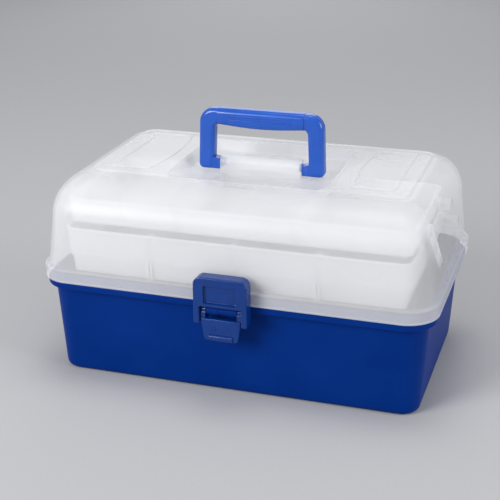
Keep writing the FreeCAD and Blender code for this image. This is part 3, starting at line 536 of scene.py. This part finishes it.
def lid_bores():
    """Bores for the hinge pins, the handle's stubs and the tray pins."""
    bores = [rod("hinge_bore", HINGE_BORE, both(HINGE_REACH), HINGE, BORE_SIDES)]
    for sign in SIDES:
        bores.append(rod("stub_bore", STUB_BORE, on_side(sign, *STUB_SEAT), HANDLE_PIVOT, STUB_SIDES))
        for pivot in LID_PIVOTS:
            bores.append(rod("pin_seat", PIN_BORE, on_side(sign, *LID_SEAT), pivot, BORE_SIDES))
    return together("bores", bores)


def make_lid():
    """Lid shell with everything that is moulded to it."""
    lid = lid_outside()
    cut(lid, recess_tool(0))
    soften_crease(lid)
    add(lid, panel_ring(-1), panel_ring(1), handle_saddle())
    cut(lid, lid_room())
    add(lid, hinge_webs())
    cut(lid, lid_bores())
    return polish(lid, SHELL_ANGLE)


# Base tub: round foot, leaning wall, lip and rim, then down the inside to the floor
# The lip reaches 3 mm further out than the solid's, over a cove; profiles are points of (inset, height)
TUB_FOOT = Level(152.5, 86.0, 86.0, 15.0, 0.0)
TUB_RIM = Level(158.25, 93.5, 93.5, 22.0, 90.0)
TUB_LIP = Level(163.2, 98.4, 98.4, 26.5, 78.4)
TUB_WALL, FOOT_ROUND, FLOOR_ROUND = 2.4, 5.0, 3.0
LIP_COVE = ((0, 74.6), (-0.3, 75.6), (-1.2, 76.8), (-3.0, 77.8))
LIP_EDGE = ((1.0, TUB_LIP.height), (0.3, 78.65), (0, 79.1), (0, 83.3), (0.3, 83.75), (1.0, 83.9))
RIM_EDGE = ((0, 84.4), (0, 89.3), (0.2, 89.8), (0.7, 90.0), (1.7, 90.0), (2.2, 89.8), (TUB_WALL, 89.3))
HINGE_LUGS, HINGE_LUG_ROOT = ((-20.3, -10.3), (10.3, 20.3)), 92.6
LATCH_LUG, LATCH_LUG_ROOT, LATCH_NOSE = (3.0, 12.7), -91.8, 3.9
COLLAR_RADIUS, COLLAR_HALF, COLLAR_EDGE = 3.5, 3.5, 0.3
ARM_BOSS, ARM_SEAT = (149.3, 156.4), (140.0, 154.3)


def tub_level(inset, height):
    """Outline of the leaning wall at a height, drawn in by an inset."""
    share = (height - TUB_FOOT.height) / (TUB_RIM.height - TUB_FOOT.height)
    wall = Level(*(low + (high - low) * share for low, high in zip(TUB_FOOT, TUB_RIM)))
    return inset_level(wall, inset, height)


def tub_shell():
    """Tub from the round foot over the rim to the inside floor."""
    levels = [tub_level(inset, rise) for inset, rise in reversed(quarter_round(FOOT_ROUND))]
    levels += [tub_level(inset, height) for inset, height in LIP_COVE]
    levels += [inset_level(TUB_LIP, inset, height) for inset, height in LIP_EDGE]
    levels += [tub_level(inset, height) for inset, height in RIM_EDGE]
    levels += [tub_level(TUB_WALL + inset, TUB_WALL + rise) for inset, rise in quarter_round(FLOOR_ROUND)]
    return moulding("base_shell_soft", levels)


def hinge_lug(x):
    """Round-nosed lug at the rear that holds an end of a hinge pin."""
    lug = block("hinge_lug", x, (HINGE_LUG_ROOT, HINGE[0] + KNUCKLE), both(KNUCKLE, HINGE[1]))
    rear = running(X, lambda spot: spot.y > HINGE[0])
    round_edges(lug, rear, KNUCKLE - ROUND_GAP, KNUCKLE_STEPS)
    return soften(lug, KNUCKLE_EDGE, segments=2)


def latch_lug(x):
    """Round-nosed lug at the front that holds the lever's pin."""
    front, height = LEVER_PIVOT
    lug = block("latch_lug", x, (front - LATCH_NOSE, LATCH_LUG_ROOT), both(LATCH_NOSE, height))
    nose = running(X, lambda spot: spot.y < front)
    round_edges(lug, nose, LATCH_NOSE - ROUND_GAP, KNUCKLE_STEPS)
    return soften(lug, KNUCKLE_EDGE, segments=2)


def tub_fittings():
    """Hinge lugs, latch lugs and arm bosses of both sides."""
    parts = []
    for sign in SIDES:
        for low, high in HINGE_LUGS:
            parts.append(hinge_lug((sign * HINGE_X + low, sign * HINGE_X + high)))
        parts.append(latch_lug(on_side(sign, *LATCH_LUG)))
        parts.append(rod("arm_boss", BOSS_RADIUS, on_side(sign, *ARM_BOSS), ARM_PIVOT, BOSS_SIDES))
    return together("lugs", parts)


def tub_bores():
    """Bores for the hinge pins, the lever's pin and the arm pins."""
    bores = [rod("hinge_bore", HINGE_BORE, both(HINGE_REACH), HINGE, BORE_SIDES)]
    bores.append(rod("latch_bore", LATCH_BORE, both(LUG_REACH), LEVER_PIVOT, BORE_SIDES))
    for sign in SIDES:
        bores.append(rod("arm_seat", PIN_BORE, on_side(sign, *ARM_SEAT), ARM_PIVOT, BORE_SIDES))
    return together("bores", bores)


def make_base():
    """Tub with its lugs, bosses and the collar between the latch lugs."""
    base = tub_shell()
    collar = rod("latch_collar", COLLAR_RADIUS, both(COLLAR_HALF), LEVER_PIVOT, COLLAR_SIDES)
    add(base, tub_fittings(), soften(collar, COLLAR_EDGE, segments=2))
    cut(base, tub_bores())
    return polish(base, SHELL_ANGLE)


# Trays: outside, beaded rim and inside in one moulding, with bosses and divider guides
# Profiles are points of (inset, height), and the bead's of (inset, rise) from the tray's top
TRAY_HALF, TRAY_CORNER, LEAST_CORNER, CORNER_SHARE, TRAY_STEPS = 143.5, 9.0, 2.5, 0.9, 8
TRAY_BOSS = (139.5, 145.7)
RIM_BEAD = (
    (-0.4, -2.6), (-0.9, -2.3), (-1.0, -1.9), (-1.0, -0.6), (-0.8, -0.2), (-0.3, 0),
    (1.3, 0), (1.7, -0.2), (1.8, -0.6))
GUIDE_X, GUIDE_LAP, GUIDE_ROOT = ((-2.15, -0.95), (0.95, 2.15)), 2.4, 1.0
LOWER_FRONT, LOWER_BACK, LOWER_TOP, LOWER_SPOTS = 84.0, 72.04, 127.5, (-70.0, 0.0, 70.0)
LOWER_OUTSIDE = (
    (6.2, 88.0), (4.6, 88.6), (3.95, 90.2), (2.85, 102.3), (2.6, 102.8), (2.2, 103.0),
    (1.5, 103.1), (1.25, 103.4), (1.15, 104.2), (0.15, 124.5))
LOWER_INSIDE = ((2.95, 105.6), (3.2, 105.0), (3.7, 104.8), (4.3, 104.7), (4.65, 104.2), (5.87, 89.8))
LOWER_PLATE_INSET, LOWER_GUIDE = 5.95, (89.0, 126.0)
UPPER_FRONT, UPPER_BACK, UPPER_TOP, UPPER_SPOTS = 77.0, 45.0, 151.0, (-48.0, 48.0)
UPPER_OUTSIDE = ((3.2, 129.5), (1.8, 130.1), (1.2, 131.6), (0.1, 148.0))
UPPER_INSIDE = ((2.98, 131.3),)
UPPER_PLATE_INSET, UPPER_GUIDE = 3.15, (130.5, 149.5)


def beaded(outside, top, inside):
    """Profile of a tray's wall as (inset, height), with the bead round its rim."""
    return outside + tuple((inset, top + rise) for inset, rise in RIM_BEAD) + inside


def tray_shell(name, front, back, profile):
    """Tray wall and floor through a profile; its corners get tighter towards the floor."""
    levels = []
    for inset, height in profile:
        corner = max(TRAY_CORNER - inset * CORNER_SHARE, LEAST_CORNER)
        levels.append(Level(TRAY_HALF - inset, front - inset, back - inset, corner, height))
    return moulding(name, levels, TRAY_STEPS)


def divider_guides(front, back, spots, plate_inset, height):
    """Pairs of ribs inside the front and the back wall, which hold the divider plates."""
    guides = []
    reach = plate_inset + GUIDE_LAP
    for spot in spots:
        for low, high in GUIDE_X:
            x = (spot + low, spot + high)
            guides.append(block("guide", x, (GUIDE_ROOT - front, reach - front), height))
            guides.append(block("guide", x, (back - reach, back - GUIDE_ROOT), height))
    return guides


def finish_tray(tray, guides, lid_pivot, arm_pivot):
    """Adds the guides and bosses to a tray and bores it for its pins."""
    parts = list(guides)
    for sign in SIDES:
        for pivot in (lid_pivot, arm_pivot):
            parts.append(rod("boss", BOSS_RADIUS, on_side(sign, *TRAY_BOSS), pivot, BOSS_SIDES))
    add(tray, together("fittings", parts))
    bores = [rod("lid_bore", PIN_BORE, both(TRAY_REACH), lid_pivot, BORE_SIDES)]
    bores.append(rod("arm_bore", OPEN_BORE, both(TRAY_REACH), arm_pivot, BORE_SIDES))
    cut(tray, together("bores", bores))
    return polish(tray, SHELL_ANGLE)


def make_lower_tray():
    """Deep tray with a ledge round its wall and guides for three dividers."""
    profile = beaded(LOWER_OUTSIDE, LOWER_TOP, LOWER_INSIDE)
    tray = tray_shell("lower_tray_soft", LOWER_FRONT, LOWER_BACK, profile)
    guides = divider_guides(LOWER_FRONT, LOWER_BACK, LOWER_SPOTS, LOWER_PLATE_INSET, LOWER_GUIDE)
    return finish_tray(tray, guides, LID_PIVOTS[0], ARM_PIVOTS[0])


def make_upper_tray():
    """Shallow tray with guides for two dividers."""
    profile = beaded(UPPER_OUTSIDE, UPPER_TOP, UPPER_INSIDE)
    tray = tray_shell("upper_tray_soft", UPPER_FRONT, UPPER_BACK, profile)
    guides = divider_guides(UPPER_FRONT, UPPER_BACK, UPPER_SPOTS, UPPER_PLATE_INSET, UPPER_GUIDE)
    return finish_tray(tray, guides, LID_PIVOTS[1], ARM_PIVOTS[1])


# Handle: bow with a swollen, ribbed grip, toes that point inwards, and stubs
BOW_FOOT, BOW_CREST, BOW_UNDERSIDE = 162.8, 215.0, 202.0
BOW_HALF, BOW_GAP, BOW_LEAN, BOW_SIDE = 54.5, 41.5, 1.8, 6.0
GAP_SIDE, GAP_DROP = 20.0, 5.0
CREST_BEND, GAP_BEND, FOOT_BEND, BOW_EDGE = 12.0, 4.0, 4.5, 3.6
GRIP_HALF, GRIP_SIDE, GRIP_SWELL, GRIP_BELLY = 37.0, 6.8, 0.4, 2.2
GRIP_ROUND, GRIP_EDGE, GRIP_CUTS = 4.6, 0.5, 15
TOE_X, TOE_SIDE, TOE_Z = (35.3, 48.0), 5.0, (163.4, 174.4)
TOE_SLOPE, TOE_EDGE = 2.4, 0.9
STUB_X, STUB_RADIUS = (32.5, 46.0), 3.4
RIB_HALF, RIB_Y, RIB_HALF_HEIGHT, RIB_EDGE = 27.0, (5.0, 7.4), 0.6, 0.5
RIB_HEIGHTS = (206.8, 210.2)
FITTING_ANGLE = 38


def handle_bow():
    """Bow whose legs lean inwards a little towards the crest."""
    bow = block("handle_soft", both(BOW_HALF), both(BOW_SIDE), (BOW_FOOT, BOW_CREST))
    spread(bow, above(BOW_UNDERSIDE), (BOW_HALF - BOW_LEAN) / BOW_HALF)
    opening = block("opening", both(BOW_GAP), both(GAP_SIDE), (BOW_FOOT - GAP_DROP, BOW_UNDERSIDE))
    spread(opening, above(BOW_FOOT), (BOW_GAP - BOW_LEAN) / BOW_GAP)
    cut(bow, opening)
    round_edges(bow, running(Y, lambda spot: near(spot.z, BOW_CREST)), CREST_BEND, segments=12)
    round_edges(bow, running(Y, lambda spot: near(spot.z, BOW_UNDERSIDE)), GAP_BEND, segments=6)

    def outer_foot(spot):
        return near(spot.z, BOW_FOOT) and abs(spot.x) > (BOW_GAP + BOW_HALF) / 2

    round_edges(bow, running(Y, outer_foot), FOOT_BEND, segments=6)
    return soften(bow, BOW_EDGE, segments=6, angle=50)


def handle_grip():
    """Grip that swells all round the bow and bellies downwards in the middle."""
    height = (BOW_UNDERSIDE - GRIP_SWELL, BOW_CREST + GRIP_SWELL)
    grip = block("grip", both(GRIP_HALF), both(GRIP_SIDE), height)
    round_edges(grip, running(X), GRIP_ROUND, segments=8)
    edit(grip)
    pick(grip, "EDGE", running(X))
    bpy.ops.mesh.subdivide(number_cuts=GRIP_CUTS)
    mesh = bmesh.from_edit_mesh(grip.data)
    stations = sorted({round(point.co.x, 7) for point in mesh.verts})
    in_crest = above((BOW_UNDERSIDE + BOW_CREST) / 2)
    for station in stations:
        belly = GRIP_BELLY * math.cos(station / (GRIP_HALF * MM) * math.pi / 2)
        pick(grip, "VERT", lambda point: abs(point.co.x - station) < MERGE and not in_crest(point))
        shift(0, 0, -belly)
    leave()
    return soften(grip, GRIP_EDGE, segments=2, angle=60)


def handle_toe(sign):
    """Toe at the inside of one leg, whose top slopes down towards the saddle."""
    toe = block("toe", on_side(sign, *TOE_X), both(TOE_SIDE), TOE_Z)
    inner = sum(TOE_X) / 2 * MM
    at_top = above(HANDLE_PIVOT[1])
    edit(toe)
    pick(toe, "VERT", lambda point: abs(point.co.x) < inner and at_top(point))
    shift(0, 0, -TOE_SLOPE)
    leave()
    return soften(toe, TOE_EDGE)


def grip_rib(sign, height):
    """Rib along the front (-1) or the back (1) of the grip."""
    rib = block("rib", both(RIB_HALF), on_side(sign, *RIB_Y), both(RIB_HALF_HEIGHT, height))
    return round_edges(rib, lambda item: near(abs(middle(item).y), RIB_Y[1]), RIB_EDGE, segments=3)


def make_handle():
    """Carrying handle with its stubs."""
    bow = handle_bow()
    add(bow, handle_grip())
    add(bow, together("toes", [handle_toe(sign) for sign in SIDES]))
    stubs = []
    for sign in SIDES:
        stubs.append(rod("stub", STUB_RADIUS, on_side(sign, *STUB_X), HANDLE_PIVOT, STUB_SIDES))
    add(bow, together("stubs", stubs))
    add(bow, together("ribs", [grip_rib(sign, height) for sign in SIDES for height in RIB_HEIGHTS]))
    return polish(bow, FITTING_ANGLE)


# Latch: hasp with a sunk window and yoke legs, lever with ears, plate and finger lip
HASP_HALF, HASP_FRONT, HASP_BACK, HASP_LOW, HASP_TOP = 22.0, -112.0, -100.4, 70.6, 109.6
HASP_CORNER, HASP_EDGE = 6.5, 1.1
YOKE_HALF, YOKE_Y, YOKE_Z = 17.2, (-130.0, -90.0), (50.0, 85.1)
WINDOW_HALF, WINDOW_SILL, WINDOW_LINTEL = 14.0, 87.6, 103.6
WINDOW_DEPTH, WINDOW_OUT, WINDOW_CORNER, WINDOW_EDGE = 2.4, 2.0, 1.6, 0.5
WINDOW_DRAFT_X, WINDOW_DRAFT_Z = 0.93, 0.9
LEVER_HALF, LEVER_FRONT, LEVER_BACK, LEVER_LOW, LEVER_TOP = 16.7, -110.0, -106.0, 56.1, 74.6
LEVER_TAPER, LEVER_CORNER, LEVER_EDGE = 3.0, 2.4, 0.9
EAR_THICK, EAR_FRONT, EAR_LOW, EAR_ROUND, EAR_CORNER, EAR_EDGE = 3.6, -109.0, 70.6, 3.9, 3.0, 0.4
HASP_SEAT_DEPTH = 3.9
LIP_RADIUS, LIP_HALF, LIP_Z, LIP_STRETCH, LIP_END, LIP_SIDES = 1.8, 10.0, 58.9, 1.4, 0.7, 24
NUB_RADIUS, NUB_X, NUB_Z = 1.2, -5.0, 66.5


def hasp_window():
    """Tool for the window: round corners, and sides that draw in towards its floor."""
    floor = HASP_FRONT + WINDOW_DEPTH
    depth = (HASP_FRONT - WINDOW_OUT, floor)
    window = block("window", both(WINDOW_HALF), depth, (WINDOW_SILL, WINDOW_LINTEL))
    round_edges(window, running(Y), WINDOW_CORNER, segments=4)
    edit(window)
    pick(window, "VERT", lambda point: point.co.y > HASP_FRONT * MM)
    centre = (0, floor, (WINDOW_SILL + WINDOW_LINTEL) / 2)
    stretch(WINDOW_DRAFT_X, 1, WINDOW_DRAFT_Z, centre)
    leave()
    return round_edges(window, lambda item: near(middle(item).y, floor), WINDOW_EDGE, segments=2)


def make_hasp():
    """Upper half of the latch."""
    hasp = block("latch_hasp_soft", both(HASP_HALF), (HASP_FRONT, HASP_BACK), (HASP_LOW, HASP_TOP))
    round_edges(hasp, running(Y, lambda spot: near(spot.z, HASP_TOP)), HASP_CORNER, segments=8)
    cut(hasp, block("yoke", both(YOKE_HALF), YOKE_Y, YOKE_Z))
    soften(hasp, HASP_EDGE, segments=4, angle=50)
    cut(hasp, hasp_window())
    cut(hasp, rod("pin_bore", LATCH_BORE, both(LATCH_REACH), HASP_PIVOT, BORE_SIDES))
    return polish(hasp, FITTING_ANGLE)


def lever_plate():
    """Plate that narrows downwards, with round lower corners."""
    plate = block("latch_lever_soft", both(LEVER_HALF), (LEVER_FRONT, LEVER_BACK), (LEVER_LOW, LEVER_TOP))
    at_top = above((LEVER_LOW + LEVER_TOP) / 2)
    spread(plate, lambda point: not at_top(point), (LEVER_HALF - LEVER_TAPER) / LEVER_HALF)
    round_edges(plate, running(Y, lambda spot: near(spot.z, LEVER_LOW)), LEVER_CORNER, segments=5)
    return soften(plate, LEVER_EDGE, angle=50)


def lever_ear(sign):
    """Ear that reaches back from the plate and turns on the lever's pin."""
    y, z = LEVER_PIVOT
    x = on_side(sign, LEVER_HALF - EAR_THICK, LEVER_HALF)
    ear = block("ear", x, (EAR_FRONT, y + EAR_ROUND), (EAR_LOW, z))
    add(ear, rod("ear_round", EAR_ROUND, x, LEVER_PIVOT, BOSS_SIDES))
    shoulder = running(X, lambda spot: near(spot.y, EAR_FRONT) and near(spot.z, z))
    round_edges(ear, shoulder, EAR_CORNER, segments=5)
    return soften(ear, EAR_EDGE, segments=2, angle=50)


def finger_lip():
    """Oval bar across the plate's lower end."""
    lip = rod("finger_lip", LIP_RADIUS, both(LIP_HALF), (LEVER_FRONT, LIP_Z), LIP_SIDES)
    edit(lip)
    bpy.ops.mesh.select_all(action="SELECT")
    stretch(1, 1, LIP_STRETCH, (0, 0, LIP_Z))
    leave()
    return soften(lip, LIP_END, angle=50)


def lever_nub():
    """Small round nub on the plate."""
    bpy.ops.object.select_all(action="DESELECT")
    bpy.ops.mesh.primitive_uv_sphere_add(
        segments=20, ring_count=12, radius=NUB_RADIUS * MM,
        location=(NUB_X * MM, LEVER_FRONT * MM, NUB_Z * MM))
    return settle("nub")


def make_lever():
    """Lower half of the latch."""
    lever = lever_plate()
    add(lever, together("ears", [lever_ear(sign) for sign in SIDES]))
    add(lever, finger_lip())
    add(lever, lever_nub())
    bores = [rod("pivot_bore", LATCH_BORE, both(LATCH_REACH), LEVER_PIVOT, BORE_SIDES)]
    for sign in SIDES:
        x = on_side(sign, LEVER_HALF - HASP_SEAT_DEPTH, LATCH_REACH)
        bores.append(rod("hasp_bore", LATCH_BORE, x, HASP_PIVOT, BORE_SIDES))
    cut(lever, together("bores", bores))
    return polish(lever, FITTING_ANGLE)


# Materials

def bare_material(name):
    """New material with its node tree, its shader and the piece's own coordinates."""
    material = bpy.data.materials.new(name)
    material.use_nodes = True
    tree = material.node_tree
    place = tree.nodes.new("ShaderNodeTexCoord").outputs["Object"]
    return material, tree, tree.nodes["Principled BSDF"], place


def noise(tree, place, **settings):
    """Noise at a place, as a value from about 0 to 1."""
    node = tree.nodes.new("ShaderNodeTexNoise")
    for name, value in settings.items():
        node.inputs[name].default_value = value
    tree.links.new(place, node.inputs["Vector"])
    return node.outputs["Fac"]


def tint(tree, shader, value, dark, light, low=0.0, high=1.0):
    """Colours the shader from dark to light as a value goes from low to high."""
    ramp = tree.nodes.new("ShaderNodeValToRGB")
    for stop, position, colour in zip(ramp.color_ramp.elements, (low, high), (dark, light)):
        stop.position = position
        stop.color = (*colour, 1)
    tree.links.new(value, ramp.inputs["Fac"])
    tree.links.new(ramp.outputs["Color"], shader.inputs["Base Color"])


def sheen(tree, shader, value, smooth, rough, low=0.0, high=1.0):
    """Makes the shader's roughness follow a value that goes from low to high."""
    scale = tree.nodes.new("ShaderNodeMapRange")
    for name, limit in (("From Min", low), ("From Max", high), ("To Min", smooth), ("To Max", rough)):
        scale.inputs[name].default_value = limit
    tree.links.new(value, scale.inputs["Value"])
    tree.links.new(scale.outputs["Result"], shader.inputs["Roughness"])


def plastic(name, dark, light, rough, alpha=1.0, cloud=16.0, grain=0.12, gloss=0.5):
    """Moulded plastic: cloudy colour, an uneven sheen and a faint moulding ripple."""
    material, tree, shader, place = bare_material(name)
    shader.inputs["Alpha"].default_value = alpha
    shader.inputs["IOR"].default_value = 1.5
    shader.inputs["Specular IOR Level"].default_value = gloss
    clouds = noise(tree, place, Scale=cloud, Detail=4.0, Roughness=0.55)
    tint(tree, shader, clouds, dark, light, 0.3, 0.7)
    patches = noise(tree, place, Scale=cloud * 0.6, Detail=2.0, Roughness=0.4)
    sheen(tree, shader, patches, rough - 0.02, rough + 0.02, 0.3, 0.7)
    ripple = noise(tree, place, Scale=220.0, Detail=1.0)
    bump = tree.nodes.new("ShaderNodeBump")
    bump.inputs["Strength"].default_value = grain
    bump.inputs["Distance"].default_value = 0.0004
    tree.links.new(ripple, bump.inputs["Height"])
    tree.links.new(bump.outputs["Normal"], shader.inputs["Normal"])
    return material


def wire_steel(name):
    """Drawn wire: bright metal with fine lines along its length and dull patches."""
    material, tree, shader, place = bare_material(name)
    shader.inputs["Metallic"].default_value = 1.0
    draw = tree.nodes.new("ShaderNodeMapping")
    draw.inputs["Scale"].default_value = (40, 2600, 2600)
    tree.links.new(place, draw.inputs["Vector"])
    lines = noise(tree, draw.outputs["Vector"], Scale=1.0, Detail=3.0)
    tint(tree, shader, lines, (0.42, 0.43, 0.45), (0.72, 0.73, 0.75))
    sheen(tree, shader, lines, 0.25, 0.45)
    return material


def floor_paper(name):
    """Pale paper with fine fibres."""
    material, tree, shader, place = bare_material(name)
    shader.inputs["Roughness"].default_value = 0.9
    shader.inputs["Specular IOR Level"].default_value = 0.1
    fibres = noise(tree, place, Scale=600.0, Detail=3.0)
    tint(tree, shader, fibres, (0.44, 0.44, 0.45), (0.49, 0.49, 0.50))
    return material


MILKY = ((0.90, 0.905, 0.925), (0.935, 0.938, 0.95))
TUB_BLUE = ((0.0, 0.02, 0.157), (0.001, 0.027, 0.195))
HANDLE_BLUE = ((0.006, 0.07, 0.4), (0.010, 0.087, 0.465))
LATCH_BLUE = ((0.0, 0.025, 0.155), (0.001, 0.034, 0.195))
ARM_WHITE = ((0.72, 0.73, 0.76), (0.8, 0.81, 0.83))
RIVET_WHITE = ((0.7, 0.71, 0.74), (0.78, 0.79, 0.81))
materials = {
    "lid_plastic": plastic("lid_plastic_soft", *MILKY, 0.28, alpha=0.29, grain=0.02, gloss=0.3),
    "tray_plastic": plastic("tray_plastic_soft", *MILKY, 0.34, alpha=0.5, grain=0.02, gloss=0.3),
    "base_blue": plastic("base_blue_soft", *TUB_BLUE, 0.4, grain=0.08, gloss=0.04),
    "handle_blue": plastic("handle_blue_soft", *HANDLE_BLUE, 0.2, cloud=40, grain=0.03),
    "latch_blue": plastic("latch_blue_soft", *LATCH_BLUE, 0.18, cloud=60, grain=0.03, gloss=0.35),
    "arm_plastic": plastic("arm_plastic_soft", *ARM_WHITE, 0.45, cloud=40),
    "rivet_plastic": plastic("rivet_plastic_soft", *RIVET_WHITE, 0.4, cloud=200),
    "pin_steel": wire_steel("pin_steel_soft"),
}


def dress(piece, slot):
    """Gives a piece the material of its slot."""
    piece.data.materials.clear()
    piece.data.materials.append(materials[slot])


# Pieces that are shaped anew: maker, body, slot and the node each stands for
shaped = (
    (make_base, "base", "base_blue", "base_shell"),
    (make_lid, "lid", "lid_plastic", "lid_shell"),
    (make_lower_tray, "lower_tray", "tray_plastic", "lower_tray"),
    (make_upper_tray, "upper_tray", "tray_plastic", "upper_tray"),
    (make_handle, "handle", "handle_blue", "handle"),
    (make_hasp, "latch_hasp", "latch_blue", "latch_hasp"),
    (make_lever, "latch_lever", "latch_blue", "latch_lever"),
)
replaced = set()
for make, body, slot, node in shaped:
    piece = make()
    dress(piece, slot)
    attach(piece, body)
    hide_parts(node)
    replaced.add(node)
slots = {row["node"]: row["material_slot"] for row in frame["record"]["subparts"]}
for name, solid in nodes.items():
    if name not in replaced:
        dress(solid, slots[name])

# Floor, light and camera, in metres, watts and degrees
FLOOR_SIZE = 12
AIM = (0, 0, 0.09)
SOFTBOXES = (
    ("key_light", (-1.2, -1.7, 1.0), 1.2, 43),
    ("fill_light", (1.9, -0.35, 0.75), 1.2, 22),
    ("top_light", (0.0, 0.1, 1.6), 0.7, 6),
    ("back_light", (-0.55, 1.9, 0.85), 1.3, 5),
)
SKY_COLOUR, SKY_STRENGTH = (0.93, 0.95, 1.0, 1), 0.44
CAMERA_PLACE = (0.27894, -0.89268, 0.45671)
CAMERA_AZIMUTH, CAMERA_ELEVATION, CAMERA_ROLL = 18.0, 21.2747, -0.3803
CAMERA_LENS, SENSOR_WIDTH, CLIP_START = 84.372, 36.0, 0.01

bpy.ops.object.select_all(action="DESELECT")
bpy.ops.mesh.primitive_plane_add(size=FLOOR_SIZE)
floor = bpy.context.object
floor.name = "floor"
floor.data.materials.append(floor_paper("floor_paper"))


def softbox(name, place, size, power):
    """Round area lamp that looks at the box."""
    lamp = bpy.data.lights.new(name, "AREA")
    lamp.shape = "DISK"
    lamp.size = size
    lamp.energy = power
    holder = bpy.data.objects.new(name, lamp)
    bpy.context.collection.objects.link(holder)
    holder.location = place
    look = Vector(AIM) - Vector(place)
    holder.rotation_euler = look.to_track_quat("-Z", "Y").to_euler()


for box in SOFTBOXES:
    softbox(*box)

world = bpy.data.worlds.new("studio")
bpy.context.scene.world = world
world.use_nodes = True
sky = world.node_tree.nodes["Background"]
sky.inputs["Color"].default_value = SKY_COLOUR
sky.inputs["Strength"].default_value = SKY_STRENGTH

camera_data = bpy.data.cameras.new("camera")
camera_data.lens = CAMERA_LENS
camera_data.sensor_width = SENSOR_WIDTH
camera_data.clip_start = CLIP_START
camera = bpy.data.objects.new("camera", camera_data)
bpy.context.collection.objects.link(camera)
camera.location = CAMERA_PLACE
turn = Euler((math.pi / 2 - math.radians(CAMERA_ELEVATION), 0, math.radians(CAMERA_AZIMUTH)))
roll = Matrix.Rotation(math.radians(CAMERA_ROLL), 3, "Z")
camera.rotation_euler = (turn.to_matrix() @ roll).to_euler()
bpy.context.scene.camera = camera
bpy.context.scene.view_settings.view_transform = "Standard"
